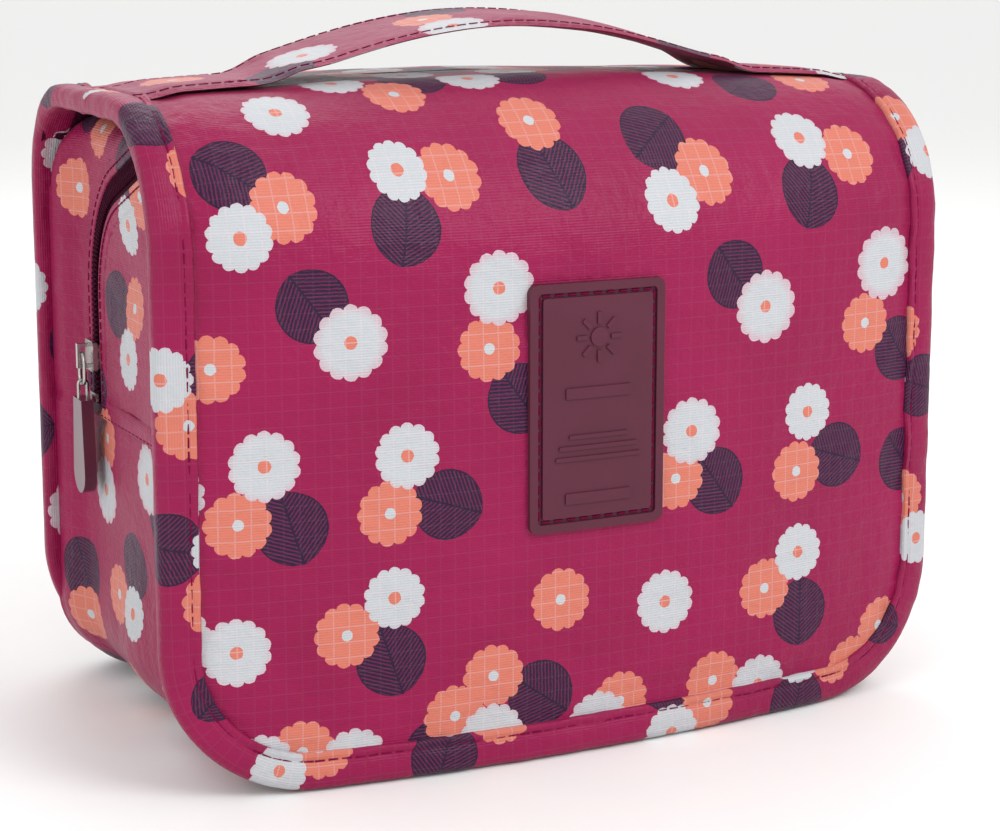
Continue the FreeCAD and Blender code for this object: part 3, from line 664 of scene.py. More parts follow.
# the binding's section in mm: inset from the outline, then depth under the face, outer hem to inner hem
bindingSection = [(10.3, 0.9), (10.2, 0.1), (9.9, -0.55), (9.2, -0.75), (8.5, -0.5), (8.0, -0.28),
                  (7.5, -0.5), (6.6, -0.85), (4.5, -1.05), (2.4, -0.95), (1.0, -0.5), (0.2, 0.4),
                  (0.0, 1.6), (0.0, 3.2), (0.3, 4.6), (1.2, 5.4), (3.0, 5.6), (6.5, 5.5), (9.0, 5.5),
                  (9.9, 5.3), (10.3, 4.6)]
bindingPrintStart = 0.0064


def coverBinding(name, side):
    # cloth tape folded over the panel's edge and puckered by its seam
    total = outlineLength(side)
    count = len(bindingSection) - 1

    def between(values, b):
        k = min(count - 1, int(b * count))
        return values[k] + (values[k + 1] - values[k]) * (b * count - k)

    insets = [point[0] for point in bindingSection]
    depths = [point[1] for point in bindingSection]

    def place(a, b):
        inset, depth = between(insets, b) * mm, between(depths, b) * mm
        u, s = outlineSpot(side, a * total, max(inset, 0.0))
        ripple = softNoise(a * total * 90, inset * 120, side["seed"]) * 0.0004
        ripple += softNoise(a * total * 260, inset * 60, side["seed"] + 2) * 0.00028
        return coverSpot(side, u, s, depth - 0.0008 + (ripple if depth < 0.001 else -ripple))

    run = [bindingPrintStart]
    for p, q in zip(bindingSection, bindingSection[1:]):
        run.append(run[-1] + math.dist(p, q) * mm)

    def outward(centre):
        return Vector((centre.x * 0.4, centre.y, centre.z - 0.09)).normalized()

    return clothGrid(name, coverWall["bindingSteps"], count, place,
                     lambda a, b: (a * total, between(run, b)), outward)


def coverStitches(name, side):
    total = outlineLength(side)
    count = int(total / coverSeam["pitch"])
    inset, depth = coverSeam["inset"], coverSeam["depth"]
    moves = []
    for k in range(count):
        t = (k + 0.5) * total / count
        here = coverSpot(side, *outlineSpot(side, t, inset), depth)
        ahead = coverSpot(side, *outlineSpot(side, min(total, t + mm), inset), depth)
        inner = coverSpot(side, *outlineSpot(side, t, inset + mm), depth)
        along = ahead - here
        normal = along.cross(inner - here)
        if normal.dot(coverOutward(here)) < 0:
            normal = -normal
        moves.append(standOn(here, along, normal))
    return repeated(name, pinModel(coverSeam["stitch"], coverSeam["thread"]), moves)


def makeCover(cloth):
    for side in (frontCover, rearCover):
        panel = coverPanel(side["word"] + "CoverPanel", side)
        finishPiece(panel, cloth[side["cloth"]])
        thicken(panel, coverWall["panel"], cloth["lining"])
        smoothed(panel)
        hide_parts(*side["panelNodes"])
        binding = coverBinding(side["word"] + "CoverBinding", side)
        finishPiece(binding, cloth["binding"])
        thicken(binding, coverWall["binding"])
        smoothed(binding)
        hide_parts(*side["bindingNodes"])
        seam = coverStitches(side["word"] + "BindingStitches", side)
        finishPiece(seam, cloth["thread"])
        # the shoulder's level and upright points are worked out for the two bodies, but nothing blends between
        # them; each piece only has its transform baked
        level, upright = (0, side["way"] * side["flat"], topZ), (0, side["edge"], topZ - side["shoulder"])
        start, end = (level, upright) if side is frontCover else (upright, level)
        for piece in (panel, binding, seam):
            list(side["bodies"])
            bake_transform(piece)
            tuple(start)
            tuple(end)
        print("cover", side["word"])


# handle: a flat folded strap, sewn down at both ends; places are from the object's middle
handle = {"half": 0.0200, "middle": -0.007, "reach": 0.1135, "land": 0.082, "rise": 0.0205, "hem": 0.0034,
          "tilt": 0.085, "thick": 0.0010, "steps": 150, "clothWidth": 0.084, "pressed": 0.55}
handleSeam = {"pitch": 0.0036, "stitch": 0.0028, "thread": 0.00021, "lift": 0.00092, "crossPitch": 0.0031}


def strapHeight(x, y=0.0):
    # the strap's middle height: flat on the panel at its ends, arched between them and leaning forward there
    t = max(0.0, (handle["land"] - abs(x)) / handle["land"])
    base = topZ + 0.0008 + coverWall["crown"] * (1 - (abs(x) / halfWidth) ** 2.2)
    tuck = 0.0012 * eased((abs(x) - 0.100) / 0.010)
    lift = (handle["rise"] - coverWall["crown"]) * math.sin(math.pi / 2 * t) * eased(t * 5)
    lean = handle["tilt"] * (y - handle["half"]) * eased(t * 3)
    over = max(0.0, -frontCover["flat"] - handle["middle"] - y)
    drop = frontCover["shoulder"] - math.sqrt(frontCover["shoulder"] ** 2 - over ** 2)
    return base - tuck + lift + lean - drop * (1 - eased(t * 3))


def strapSection():
    # top face then under face, as places across and heights, with the hems folded in
    w, hem = handle["half"], handle["hem"]
    section = []
    for k in range(25):
        v = -1 + 2 * k / 24
        edge = (1 - abs(v)) * w
        height = handle["thick"] * math.sqrt(max(0.0, 1 - abs(v) ** 8)) + 0.0003 * eased((edge - hem) / 0.004)
        height -= 0.0003 * math.exp(-((edge - hem) / 0.0006) ** 2)
        section.append((v * w, height))
    section += [(x, -z * 0.8) for x, z in reversed(section[1:-1])]
    section.append(section[0])
    return section


def makeStrap(cloth):
    section = strapSection()
    count = len(section) - 1

    def place(a, b):
        x = (2 * a - 1) * handle["reach"]
        y, h = section[min(count, int(round(b * count)))]
        if a < 0.001 or a > 0.999:
            h = 0.0   # the two faces meet in the end, under the binding
        slope = (strapHeight(x + 0.0005) - strapHeight(x - 0.0005)) / 0.001
        normal = Vector((-slope, 0, 1)).normalized()
        soft = softNoise(x * 40, y * 60, 2.0) * 0.0007 if abs(x) < handle["land"] else 0.0
        narrow = 1 - 0.05 * eased((handle["land"] - abs(x)) / 0.05)
        return Vector((x, handle["middle"] + y * narrow, strapHeight(x, y))) + normal * (h + soft)

    strap = clothGrid("handleStrap", handle["steps"], count, place,
                      lambda a, b: ((2 * a - 1) * handle["reach"], b * handle["clothWidth"]),
                      lambda centre: Vector((0, 0, 1)))
    weldEdges(strap)
    finishPiece(strap, cloth["strap"], "top_panel")
    smoothed(strap)
    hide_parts("handle_strap", "handle_end_left", "handle_end_right")
    return strap


def makeHandleStitches(cloth):
    w, hem, reach, pitch = handle["half"], handle["hem"], handle["reach"], handleSeam["pitch"]
    moves = []

    def stitch(x0, y0, x1, y1):
        ends = [Vector((x, handle["middle"] + y, strapHeight(x, y) + handleSeam["lift"]))
                for x, y in ((x0, y0), (x1, y1))]
        moves.append(standOn((ends[0] + ends[1]) / 2, ends[1] - ends[0], Vector((0, 0, 1))))

    for way in (-1, 1):
        for k in range(int(2 * reach / pitch)):
            x = -reach + (k + 0.5) * pitch
            stitch(x - mm, way * (w - hem), x + mm, way * (w - hem))
    # two rows across each sewn end
    for end in (-1, 1):
        for row in (0.0, 0.0030):
            x = end * (handle["land"] + mm + row)
            for k in range(11):
                y = -w + 0.0035 + k * handleSeam["crossPitch"]
                stitch(x, y, x, y + 0.0024)
    seams = repeated("handleStitches", pinModel(handleSeam["stitch"], handleSeam["thread"]), moves)
    finishPiece(seams, cloth["thread"], "top_panel")
    return seams


def makeHandle(cloth):
    for piece in (makeStrap(cloth), makeHandleStitches(cloth)):
        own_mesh(piece)
    print("handle")


# pouch: one gusset all round, level on top with rounded noses, and closed in front by a flat panel
pouch = {"half": gussetBox[1][0], "front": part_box("pouch_front")[0][1], "top": 0.1735, "lowCorner": 0.026,
         "topCorner": 0.009, "noseRadius": 0.029, "noseY": -0.0245, "back": topFold.y - 0.0058,
         "backNose": 0.0165, "backNoseY": 0.040, "flare": 0.065, "wall": 0.0012, "around": 230, "noseRows": 10,
         "sideRows": 34, "seamZ": 0.0885}


def pouchTop(y):
    d, r = pouch["noseY"] - y, pouch["noseRadius"]
    if y > 0:
        d, r = y - pouch["backNoseY"], pouch["backNose"]
    if d <= 0:
        return pouch["top"]
    return pouch["top"] - r + math.sqrt(max(0.0, r * r - min(d, r) ** 2))


def pouchOutline(t, y, inset=0.0):
    # t runs once round, 0 to 1, from the middle of the bottom up the left side and over the top
    # gives the place, the normal there and the length walked, which is below zero on the left
    half, low, high = pouch["half"] - inset, inset, pouchTop(y) - inset
    r1, r2 = pouch["lowCorner"] - inset, pouch["topCorner"] - inset
    flip = -1
    if t > 0.5:
        t, flip = 1 - t, 1
    runs = [half - r1, r1 * math.pi / 2, high - r2 - low - r1, r2 * math.pi / 2, half - r2]
    share = [0.22, 0.12, 0.36, 0.08, 0.22]   # how much of the grid each run gets
    q = t * 2
    k = 0
    while k < 4 and q > share[k]:
        q -= share[k]
        k += 1
    d = q / share[k] * runs[k]
    if k == 0:
        x, z, nx, nz = d, low, 0, -1
    elif k == 1:
        a = d / r1
        nx, nz = math.sin(a), -math.cos(a)
        x, z = half - r1 + r1 * nx, low + r1 + r1 * nz
    elif k == 2:
        x, z, nx, nz = half, low + r1 + d, 1, 0
    elif k == 3:
        a = d / r2
        nx, nz = math.cos(a), math.sin(a)
        x, z = half - r2 + r2 * nx, high - r2 + r2 * nz
    else:
        x, z, nx, nz = half - r2 - d, high, 0, 1
    return Vector((flip * x, y, z)), Vector((flip * nx, 0, nz)), flip * (sum(runs[:k]) + d)


def pouchSideX(y, z):
    # how far out the pouch's side is at this height, with its rounded top corner
    r = pouch["topCorner"]
    above = z - (pouchTop(y) - r)
    if above <= 0:
        return pouch["half"]
    return pouch["half"] - r + math.sqrt(max(0.0, r * r - min(above, r) ** 2))


def pouchNormal(p):
    r = pouch["topCorner"]
    above = p.z - (pouchTop(p.y) - r)
    if above <= 0:
        return Vector((math.copysign(1, p.x), 0, 0))
    x = abs(p.x) - (pouch["half"] - r)
    n = Vector((math.copysign(max(x, 0.0), p.x), 0, above))
    lean = pouch["noseY"] - p.y
    if lean > 0:
        n.y -= lean / pouch["noseRadius"] * n.z
    return n.normalized()


# the zip's way over the pouch: turns and levels are (radius, degrees), the rest are lengths and places
zipTrack = {"start": (0.031, 0.0885), "rise": 0.032, "turn": (0.036, 70.0), "slant": 0.0205,
            "level": (0.100, 20.0), "overY": -0.030, "overCorner": 0.020, "crossY": -0.0415, "pace": 0.0015}


def zipSideRun():
    # the left side as (y, z): up from the start, round the bend, on a slant and level again towards the front
    pace = zipTrack["pace"]
    y, z = zipTrack["start"]
    n = int(zipTrack["rise"] / pace)
    run = [(y, z + zipTrack["rise"] * k / n) for k in range(n)]
    z += zipTrack["rise"]
    r = zipTrack["turn"][0]
    bend = math.radians(zipTrack["turn"][1])
    n = int(r * bend / pace)
    for k in range(n + 1):
        a = bend * k / n
        run.append((y - r + r * math.cos(a), z + r * math.sin(a)))
    y, z = run[-1]
    slantY, slantZ = -zipTrack["slant"] * math.sin(bend), zipTrack["slant"] * math.cos(bend)
    n = int(zipTrack["slant"] / pace)
    run += [(y + slantY * k / n, z + slantZ * k / n) for k in range(1, n + 1)]
    y, z = run[-1]
    r = zipTrack["level"][0]
    ease = math.radians(zipTrack["level"][1])
    n = int(r * ease / pace)
    for k in range(1, n + 1):
        a = bend + ease * k / n
        run.append((y + r * (math.cos(a) - math.cos(bend)), z + r * (math.sin(a) - math.sin(bend))))
        if run[-1][0] < zipTrack["overY"]:
            break
    return run


def zipMiddleLine():
    # the zip's middle line over the pouch: up the left side, over the corner, across, and down the right
    pace = zipTrack["pace"]
    run = zipSideRun()
    left = [Vector((-pouchSideX(y, z), y, z)) for y, z in run]
    fromY, fromZ = run[-1]
    corner, toY = pouch["topCorner"], zipTrack["crossY"]
    low = math.asin(min(1.0, max(0.0, (fromZ - (pouchTop(fromY) - corner)) / corner)))
    n = int(zipTrack["overCorner"] / pace)
    for k in range(1, n + 1):
        y = fromY + (toY - fromY) * math.sin(k / n * math.pi / 2)
        a = low + (math.pi / 2 - low) * k / n
        x = pouch["half"] - corner + corner * math.cos(a)
        left.append(Vector((-x, y, pouchTop(y) - corner + corner * math.sin(a))))
    x = left[-1].x
    n = int(-x / pace)
    left += [Vector((x * (1 - k / n), toY, pouchTop(toY))) for k in range(1, n + 1)]
    return left + [Vector((-p.x, p.y, p.z)) for p in reversed(left[:-1])]


zipLine = zipMiddleLine()


def zipDistance(p):
    return min((p - q).length for q in zipLine[::3])


def pouchRows():
    # the gusset's rows from front to back: close together round the front nose, then even
    front, last = pouch["noseY"], pouch["back"] + 0.004
    rows = []
    for k in range(pouch["noseRows"] + 1):
        a = math.pi / 2 * (1 - k / pouch["noseRows"])
        rows.append(front - pouch["noseRadius"] * math.sin(a) * 0.985)
    return rows + [front + (last - front) * k / pouch["sideRows"] for k in range(1, pouch["sideRows"] + 1)]


# heights of the gusset's relief: its belly, and its dips at the zip, at both ends and along the level seam
gussetCloth = {"belly": 0.0024, "zipGroove": 0.0022, "endDip": 0.0012, "seamDip": 0.0009, "tuck": 0.0006}


def gussetRelief(p, edge):
    # how far the cloth stands off its plain shape: a belly between seams, and dips at the zip and the seams
    seamGap = p.z - pouch["seamZ"]
    near = zipDistance(p) if p.z > 0.08 else 1.0
    groove = gussetCloth["zipGroove"] * (1 - eased((near - 0.0045) / 0.004))
    ends = gussetCloth["endDip"] * (1 - eased(edge / 0.008))
    room = eased((near - 0.008) / 0.02) * eased(edge / 0.02) * eased(p.z / 0.012)
    underPull = eased((abs(p.y - zipTrack["start"][0]) - 0.008) / 0.01) if p.z < 0.11 else 1.0
    soft = (softNoise(p.y * 30, p.z * 26, p.x * 9 + 4) - 0.25) * gussetCloth["belly"] * room * underPull
    seam = gussetCloth["seamDip"] * math.exp(-(seamGap / 0.0016) ** 2) if abs(p.x) > 0.1 else 0.0
    tuck = softNoise(p.y * 190, p.z * 190, p.x * 20) * gussetCloth["tuck"] * math.exp(-(seamGap / 0.008) ** 2)
    return soft - groove - ends - seam + tuck * room


def makeGusset(cloth):
    rows = pouchRows()
    last = len(rows) - 1

    def place(a, b):
        y = rows[min(last, int(round(b * last)))]
        p, normal, _ = pouchOutline(a, y)
        if b > 0.999:   # the last row is sewn to the bowed back panel
            p.y = pouch["back"] + (rearCover["bow"] - bowSag(rearCover, p.x)) * coverBow(p.z) + mm
        p.x *= 1 + pouch["flare"] * eased((y - 0.040) / 0.018)
        edge = min(abs(y - rows[0]), abs(pouch["back"] - y))
        spot = p + normal * gussetRelief(p, edge)
        spot.z = max(spot.z, 0.0003)   # flat where it stands
        return spot

    def flat(a, b):
        y = rows[min(last, int(round(b * last)))]
        return (y, abs(pouchOutline(a, y)[2]))

    shell = clothGrid("pouchGusset", pouch["around"], last, place, flat,
                      lambda centre: Vector((centre.x, 0, centre.z - 0.09)).normalized())
    weldEdges(shell)
    finishPiece(shell, cloth["gusset"], "bag_body")
    thicken(shell, pouch["wall"], cloth["lining"])
    smoothed(shell)
    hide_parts("lower_gusset", "upper_gusset", "side_strips")


frontPanel = {"wall": 0.001, "around": 120, "rings": 24, "proud": 0.0004, "flat": (0.22, 0.145)}


def makePouchFront(cloth):
    # rings drawn in from the gusset's edge to the middle, swelling forward to the CAD face
    faceY, edgeY = pouch["front"] + frontPanel["proud"], pouchRows()[0]
    middle = Vector((0, edgeY, pouchTop(edgeY) * 0.5))

    def place(a, b):
        edge = pouchOutline(a, edgeY, 0.0008)[0]
        at = middle + (edge - middle) * b
        swell = (faceY - edgeY) * eased((1 - b) / 0.25)
        wave = softNoise(at.x * 22, at.z * 22, 7) * 0.0006
        return at + Vector((0, swell + wave * eased((1 - b) / 0.2), 0))

    panel = clothGrid("pouchFrontPanel", frontPanel["around"], frontPanel["rings"], place,
                      lambda a, b: (place(a, b).x, -place(a, b).z), lambda centre: Vector((0, -1, 0)))
    weldEdges(panel)
    finishPiece(panel, cloth["pouchFront"], "bag_body")
    thicken(panel, frontPanel["wall"], cloth["lining"])
    smoothed(panel)
    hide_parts("pouch_front")


def pouchPrint(p):
    # the gusset's own cloth measure at a spot on its side or top, so that the print runs on over an edge
    half, r1, r2 = pouch["half"], pouch["lowCorner"], pouch["topCorner"]
    bend = pouchTop(p.y) - r2
    run = half - r1 + r1 * math.pi / 2 + min(p.z, bend) - r1
    if p.z > bend:
        run += r2 * min(math.pi / 2, math.atan2(p.z - bend, max(1e-6, abs(p.x) - half + r2)))
    return (p.y, run + max(0.0, half - r2 - abs(p.x)))


def ribbon(name, line, normals, section, measure=None):
    # a folded strip of cloth along a line; section holds (sideways, proud) pairs in mm
    # measure gives the cloth's measure at a spot; without it, that is the length along and across the strip
    count = len(section) - 1
    last = len(line) - 1

    def place(a, b):
        i = min(last, int(round(a * last)))
        across, proud = section[min(count, int(round(b * count)))]
        along = (line[min(last, i + 1)] - line[max(0, i - 1)]).normalized()
        side = normals[i].cross(along).normalized()
        spot = line[i] + side * across * mm + normals[i] * proud * mm
        spot.z = max(spot.z, 0.0001)   # nothing hangs below the base
        return spot

    run = [0.0]
    for p, q in zip(line, line[1:]):
        run.append(run[-1] + (q - p).length)

    def flat(a, b):
        if measure:
            return measure(place(a, b))
        return (run[min(last, int(round(a * last)))], b * 0.009)

    def outward(centre):
        return (centre - Vector((0, 0, 0.09))).normalized()

    return clothGrid(name, last, count, place, flat, outward)


def makeFrontSeam(cloth):
    # folded seam round the pouch's front edge, where the gusset meets the front panel
    fold = [(-0.2, -1.2), (-1.6, -0.2), (-1.9, 0.7), (-1.2, 1.3), (0.0, 1.1), (1.2, 0.5), (2.4, 0.1),
            (3.2, -0.5)]
    y = pouchRows()[0] + 0.0006
    steps = 240
    around = [pouchOutline((k / steps) % 1.0, y) for k in range(steps + 1)]
    seam = ribbon("pouchFrontSeam", [spot[0] for spot in around], [spot[1] for spot in around], fold)
    weldEdges(seam)
    finishPiece(seam, cloth["binding"], "bag_body")
    thicken(seam, 0.0004)
    smoothed(seam)


sideSeam = {"steps": 70, "rise": 0.025, "stitches": 30, "stitch": 0.0026, "thread": 0.0003, "wall": 0.0003,
            "fold": [(-3.4, -0.7), (-3.0, -0.1), (-1.0, 0.15), (1.4, 0.45), (2.0, 0.2), (2.2, -0.6)]}


def makeSideSeam(cloth, way, word):
    # the level seam on one side, where the upper gusset is sewn to the lower one; the zip starts on it
    startY, low = zipTrack["start"]
    firstY, length = pouch["front"] + 0.004, pouch["back"] - pouch["front"] - 0.006
    ys = [firstY + k * length / sideSeam["steps"] for k in range(sideSeam["steps"] + 1)]
    line = []
    for y in ys:
        z = low - 0.0012 + sideSeam["rise"] * abs(y - startY) + 0.0005 * softNoise(y * 60, 3, way)
        line.append(Vector((way * (pouch["half"] + 0.0001), y, z)))
    normals = [Vector((way, 0, 0))] * len(line)
    fold = [(-way * across, proud) for across, proud in sideSeam["fold"]]
    piece = ribbon("sideSeamFold" + word, line, normals, fold, pouchPrint)
    finishPiece(piece, cloth["gusset"], "bag_body")
    thicken(piece, sideSeam["wall"])
    smoothed(piece)
    moves = []
    for k in range(sideSeam["stitches"]):
        y = ys[0] + (ys[-1] - ys[0]) * (k + 0.5) / sideSeam["stitches"]
        if abs(y - startY) < 0.004:
            continue
        at = Vector((way * (pouch["half"] + 0.00035), y, low - 0.0024 + sideSeam["rise"] * abs(y - startY)))
        moves.append(standOn(at, Vector((0, 1, 0)), Vector((way, 0, 0))))
    piece = repeated("sideSeamStitches" + word, pinModel(sideSeam["stitch"], sideSeam["thread"]), moves)
    finishPiece(piece, cloth["thread"], "bag_body")


def makePouch(cloth):
    makeGusset(cloth)
    makePouchFront(cloth)
    makeFrontSeam(cloth)
    makeSideSeam(cloth, -1, "Left")
    makeSideSeam(cloth, 1, "Right")
    print("pouch")


# main zip; sections are (sideways, proud) in mm from the middle line
mainZip = {
    "tape": [(-6.2, -0.9), (-5.6, -0.5), (-4.0, -0.35), (-2.0, -0.3), (0.0, -0.45), (2.0, -0.3), (4.0, -0.35),
             (5.6, -0.5), (6.2, -0.9)],
    "hem": [(9.6, -1.4), (9.3, -0.35), (8.2, 0.1), (6.2, 0.35), (4.6, 0.5), (3.9, 0.35), (3.6, -0.2),
            (3.9, -0.9)],
    "tapeWall": 0.0005, "hemWall": 0.0003,
    "seamAt": 0.0058, "seamProud": 0.0005, "stitch": 0.0023, "thread": 0.00026,
    "tooth": 0.0029, "toothRadius": 0.00048, "toothAt": 0.0010, "toothProud": 0.00035, "stagger": 0.00038,
    "toothSlant": 0.18,
}


def alongZip(i, normal):
    # the zip's heading at one of its points, and the way sideways from it
    along = zipLine[i + 1] - zipLine[i - 1]
    return along, normal.cross(along).normalized()


def makeZipHem(cloth, normals, way, word):
    # the gusset's folded edge beside the zip, and the stitches in it
    fold = [(way * across, proud) for across, proud in mainZip["hem"]]
    hem = ribbon("zipHem" + word, zipLine, normals, fold, pouchPrint)
    finishPiece(hem, cloth["gusset"], "bag_body")
    thicken(hem, mainZip["hemWall"])
    smoothed(hem)
    moves = []
    for i in range(2, len(zipLine) - 2, 2):
        along, side = alongZip(i, normals[i])
        here = zipLine[i] + side * way * mainZip["seamAt"] + normals[i] * mainZip["seamProud"]
        moves.append(standOn(here, along, normals[i]))
    seam = repeated("zipStitches" + word, pinModel(mainZip["stitch"], mainZip["thread"]), moves)
    finishPiece(seam, cloth["thread"], "bag_body")


def makeZipCoil(cloth, normals, way, word, node):
    # one side's coil, as a slanting tooth for each turn
    moves = []
    for i in range(1, len(zipLine) - 1):
        along, side = alongZip(i, normals[i])
        along = along.normalized()
        here = zipLine[i] + along * mainZip["stagger"] * way
        here += side * way * mainZip["toothAt"] + normals[i] * mainZip["toothProud"]
        moves.append(standOn(here, side + along * mainZip["toothSlant"] * way, normals[i]))
    coil = repeated("zipCoil" + word, pinModel(mainZip["tooth"], mainZip["toothRadius"]), moves)
    finishPiece(coil, cloth["coil"], "bag_body")
    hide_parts(node)


def makeZip(cloth):
    normals = [pouchNormal(p) for p in zipLine]
    tape = ribbon("zipTape", zipLine, normals, mainZip["tape"])
    finishPiece(tape, cloth["tape"], "bag_body")
    thicken(tape, mainZip["tapeWall"])
    smoothed(tape)
    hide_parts("zip_tape_rear", "zip_tape_front")
    makeZipHem(cloth, normals, -1, "Inner")
    makeZipHem(cloth, normals, 1, "Outer")
    makeZipCoil(cloth, normals, -1, "A", "zip_coil_rear")
    makeZipCoil(cloth, normals, 1, "B", "zip_coil_front")
    print("zip")


# slip pockets on the pouch's front: mesh gathered by an elastic top
slipPocket = {"cols": 90, "rows": 40, "flat": (0.096, 0.092), "wall": 0.0003, "belly": 0.0011,
              "gather": 0.00025, "gathers": 62}
slipElastic = {"cols": 160, "rows": 8, "flat": (0.084, 0.008), "wall": 0.0006, "gather": 0.0002,
               "gathers": 130}


def makeSlipPocket(cloth, word):
    low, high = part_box("slip_pocket_" + word)
    faceY = high[1] - 0.0008

    def place(a, b):
        x, z = low[0] + (high[0] - low[0]) * a, low[2] + (high[2] - low[2]) * b
        belly = slipPocket["belly"] * eased(min(a, 1 - a, b * 1.2) / 0.15)
        gather = slipPocket["gather"] * math.sin(a * slipPocket["gathers"]) * eased((b - 0.5) / 0.5)
        return Vector((x, faceY - belly + gather, z))

    wide, deep = slipPocket["flat"]
    pocket = clothGrid("slipPocket" + word.title(), slipPocket["cols"], slipPocket["rows"], place,
                       lambda a, b: (a * wide, b * deep), lambda centre: Vector((0, -1, 0)))
    finishPiece(pocket, cloth["mesh"], "bag_body")
    thicken(pocket, slipPocket["wall"])
    smoothed(pocket)
    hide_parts("slip_pocket_" + word)


def makeSlipElastic(cloth, word):
    low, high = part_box("slip_elastic_" + word)

    def place(a, b):
        gather = slipElastic["gather"] * math.sin(a * slipElastic["gathers"])
        y = low[1] + 0.0003 + gather + 0.0004 * abs(2 * b - 1) ** 4   # thinner at its edges
        return Vector((low[0] + (high[0] - low[0]) * a, y, low[2] + (high[2] - low[2]) * b))

    wide, deep = slipElastic["flat"]
    elastic = clothGrid("slipElastic" + word.title(), slipElastic["cols"], slipElastic["rows"], place,
                        lambda a, b: (a * wide, b * deep), lambda centre: Vector((0, -1, 0)))
    finishPiece(elastic, cloth["elastic"], "bag_body")
    thicken(elastic, slipElastic["wall"])
    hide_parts("slip_elastic_" + word)


# zipped mesh pocket on the flap's lining, which follows the flap's bow; inner is how much tighter it bows
flapPocket = {"cols": 80, "rows": 50, "flat": (0.193, 0.074), "inner": 0.0062, "wall": 0.0003,
              "belly": 0.0005}
flapEdging = {"wide": 0.0042, "inner": 0.0066, "pace": 0.004, "wall": 0.0004, "length": 0.36,
              "section": [(-0.5, 0.0), (-0.48, 0.35), (0.0, 0.45), (0.48, 0.35), (0.5, 0.0)]}


def flapInnerY(x, inner):
    # where a face that bows with the flap stands, this far across
    centreY = frontCover["edge"] - frontCover["bow"] + frontCover["bowRadius"]
    return centreY - math.sqrt((frontCover["bowRadius"] - inner) ** 2 - x * x)


def makeFlapPocket(cloth, low, high):
    def place(a, b):
        x = low[0] + (high[0] - low[0]) * a
        z = low[2] + (high[2] - low[2]) * b
        belly = flapPocket["belly"] * math.sin(a * math.pi) * math.sin(b * math.pi)
        wave = 0.0003 * softNoise(x * 60, z * 60, 1)
        return Vector((x, flapInnerY(x, flapPocket["inner"]) + belly + wave, z))

    wide, deep = flapPocket["flat"]
    pocket = clothGrid("flapMeshPocket", flapPocket["cols"], flapPocket["rows"], place,
                       lambda a, b: (a * wide, b * deep), lambda centre: Vector((0, 1, 0)))
    finishPiece(pocket, cloth["mesh"], "front_flap")
    thicken(pocket, flapPocket["wall"])
    smoothed(pocket)
    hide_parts("flap_pocket_mesh")


def makeFlapEdging(cloth, low, high):
    # a flat tape sewn down both sides and along the bottom of the mesh pocket
    wide, section = flapEdging["wide"], flapEdging["section"]
    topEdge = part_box("flap_pocket_edging")[1][2]
    middleZ = (low[2] + topEdge) / 2
    corners = [(low[0], topEdge), (low[0], low[2]), (high[0], low[2]), (high[0], topEdge)]
    line = []
    for (x0, z0), (x1, z1) in zip(corners, corners[1:]):
        n = max(6, int(math.hypot(x1 - x0, z1 - z0) / flapEdging["pace"]))
        line += [(x0 + (x1 - x0) * k / n, z0 + (z1 - z0) * k / n) for k in range(n)]
    line.append(corners[-1])
    last, count = len(line) - 1, len(section) - 1

    def place(a, b):
        x, z = line[min(last, int(round(a * last)))]
        across, lift = section[min(count, int(round(b * count)))]
        drawIn = wide * (across + 0.5)   # the tape's width is laid inwards from the line
        x *= 1 - drawIn / abs(low[0])
        if z < topEdge - 0.001:
            z = middleZ + (z - middleZ) * (1 - drawIn / (middleZ - low[2]))
        return Vector((x, flapInnerY(x, flapEdging["inner"] + lift * mm), z))

    tape = clothGrid("flapPocketEdging", last, count, place,
                     lambda a, b: (a * flapEdging["length"], b * wide), lambda centre: Vector((0, 1, 0)))
    finishPiece(tape, cloth["elastic"], "front_flap")
    thicken(tape, flapEdging["wall"])
    smoothed(tape, 50)
    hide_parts("flap_pocket_edging")


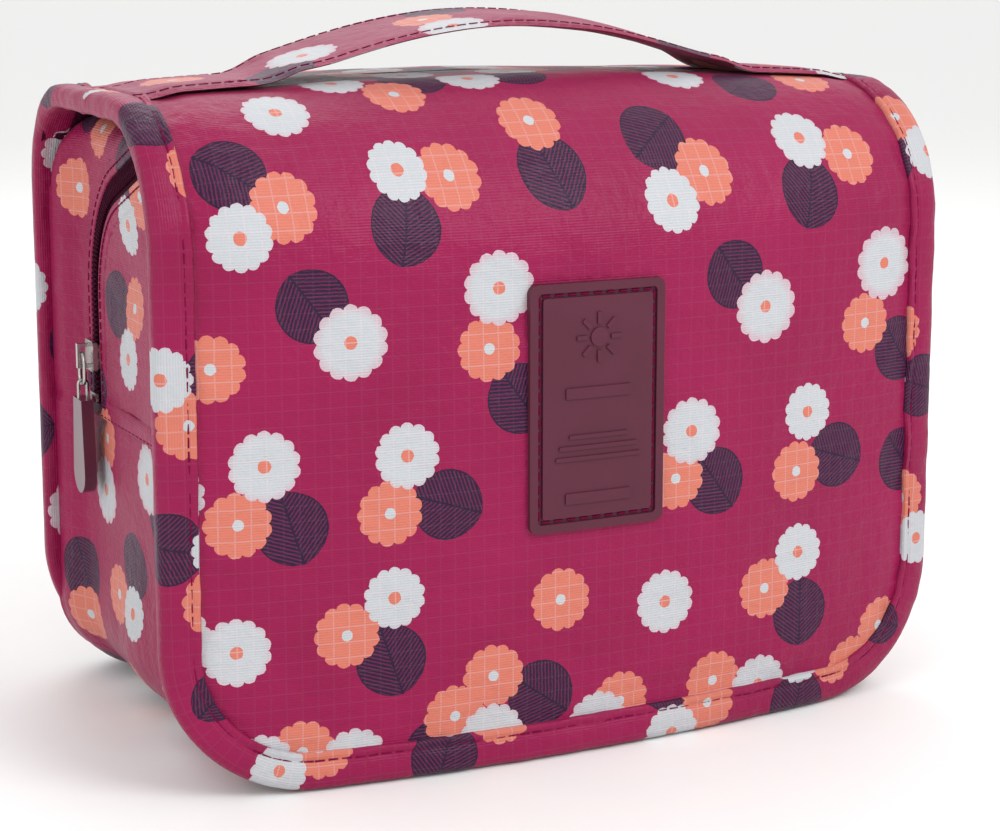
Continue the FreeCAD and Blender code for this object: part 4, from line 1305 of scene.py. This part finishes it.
def makePockets(cloth):
    for word in ("left", "right"):
        makeSlipPocket(cloth, word)
        makeSlipElastic(cloth, word)
    low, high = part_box("flap_pocket_mesh")
    makeFlapPocket(cloth, low, high)
    makeFlapEdging(cloth, low, high)
    print("pockets")


labelSeam = {"inset": 0.0031, "pitch": 0.0036, "stitch": 0.0026, "thread": 0.0004, "proud": 0.0006}


def makeLabelStitches(cloth):
    # one row of stitches all round the label, on the flap's bowed face
    low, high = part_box("label_patch")
    inset = labelSeam["inset"]
    left, right, bottom, top = low[0] + inset, high[0] - inset, low[2] + inset, high[2] - inset
    moves = []

    def stitch(x, z, along):
        y = frontCover["edge"] - frontCover["bow"] + bowSag(frontCover, x) - labelSeam["proud"]
        moves.append(standOn(Vector((x, y, z)), Vector(along), Vector((0, -1, 0))))

    def spaced(start, end):
        n = int((end - start) / labelSeam["pitch"])
        return [start + (k + 0.5) * (end - start) / n for k in range(n)]

    for z in (bottom, top):
        for x in spaced(left, right):
            stitch(x, z, (1, 0, 0))
    for x in (left, right):
        for z in spaced(bottom, top):
            stitch(x, z, (0, 0, 1))
    seam = repeated("labelStitches", pinModel(labelSeam["stitch"], labelSeam["thread"]), moves)
    finishPiece(seam, cloth["thread"], "front_flap")
    print("label")


# the CAD nodes that show as they are, under the finish that each one wears
nodeFinishes = {
    "label": ["label_patch"],
    "nickel": ["zip_slider", "pull_ring", "pull_clip", "pocket_slider", "pocket_pull", "zip_stops"],
    "pull": ["pull_tab"],
    "acetal": ["hook", "hook_eye", "webbing_stop"],
    "webbing": ["hook_webbing"],
    "elastic": ["hook_keeper", "inner_elastic"],
    "hookTape": ["closure_hook_pads", "closure_loop_pads"],
    "tape": ["pocket_zip_lower", "pocket_zip_upper"],
    "mesh": ["inner_pocket"],
}


def dressNodes(cloth):
    for finish, names in nodeFinishes.items():
        for name in names:
            node = frame["nodes"][name]
            for place in node.material_slots:
                place.material = cloth[finish]
            if not node.material_slots:
                node.data.materials.append(cloth[finish])
    print("nodes dressed")


cloth = makeMaterials()
aimCamera()
addStudio(cloth)
makeCover(cloth)
makeHandle(cloth)
makePouch(cloth)
makeZip(cloth)
makePockets(cloth)
makeLabelStitches(cloth)
dressNodes(cloth)
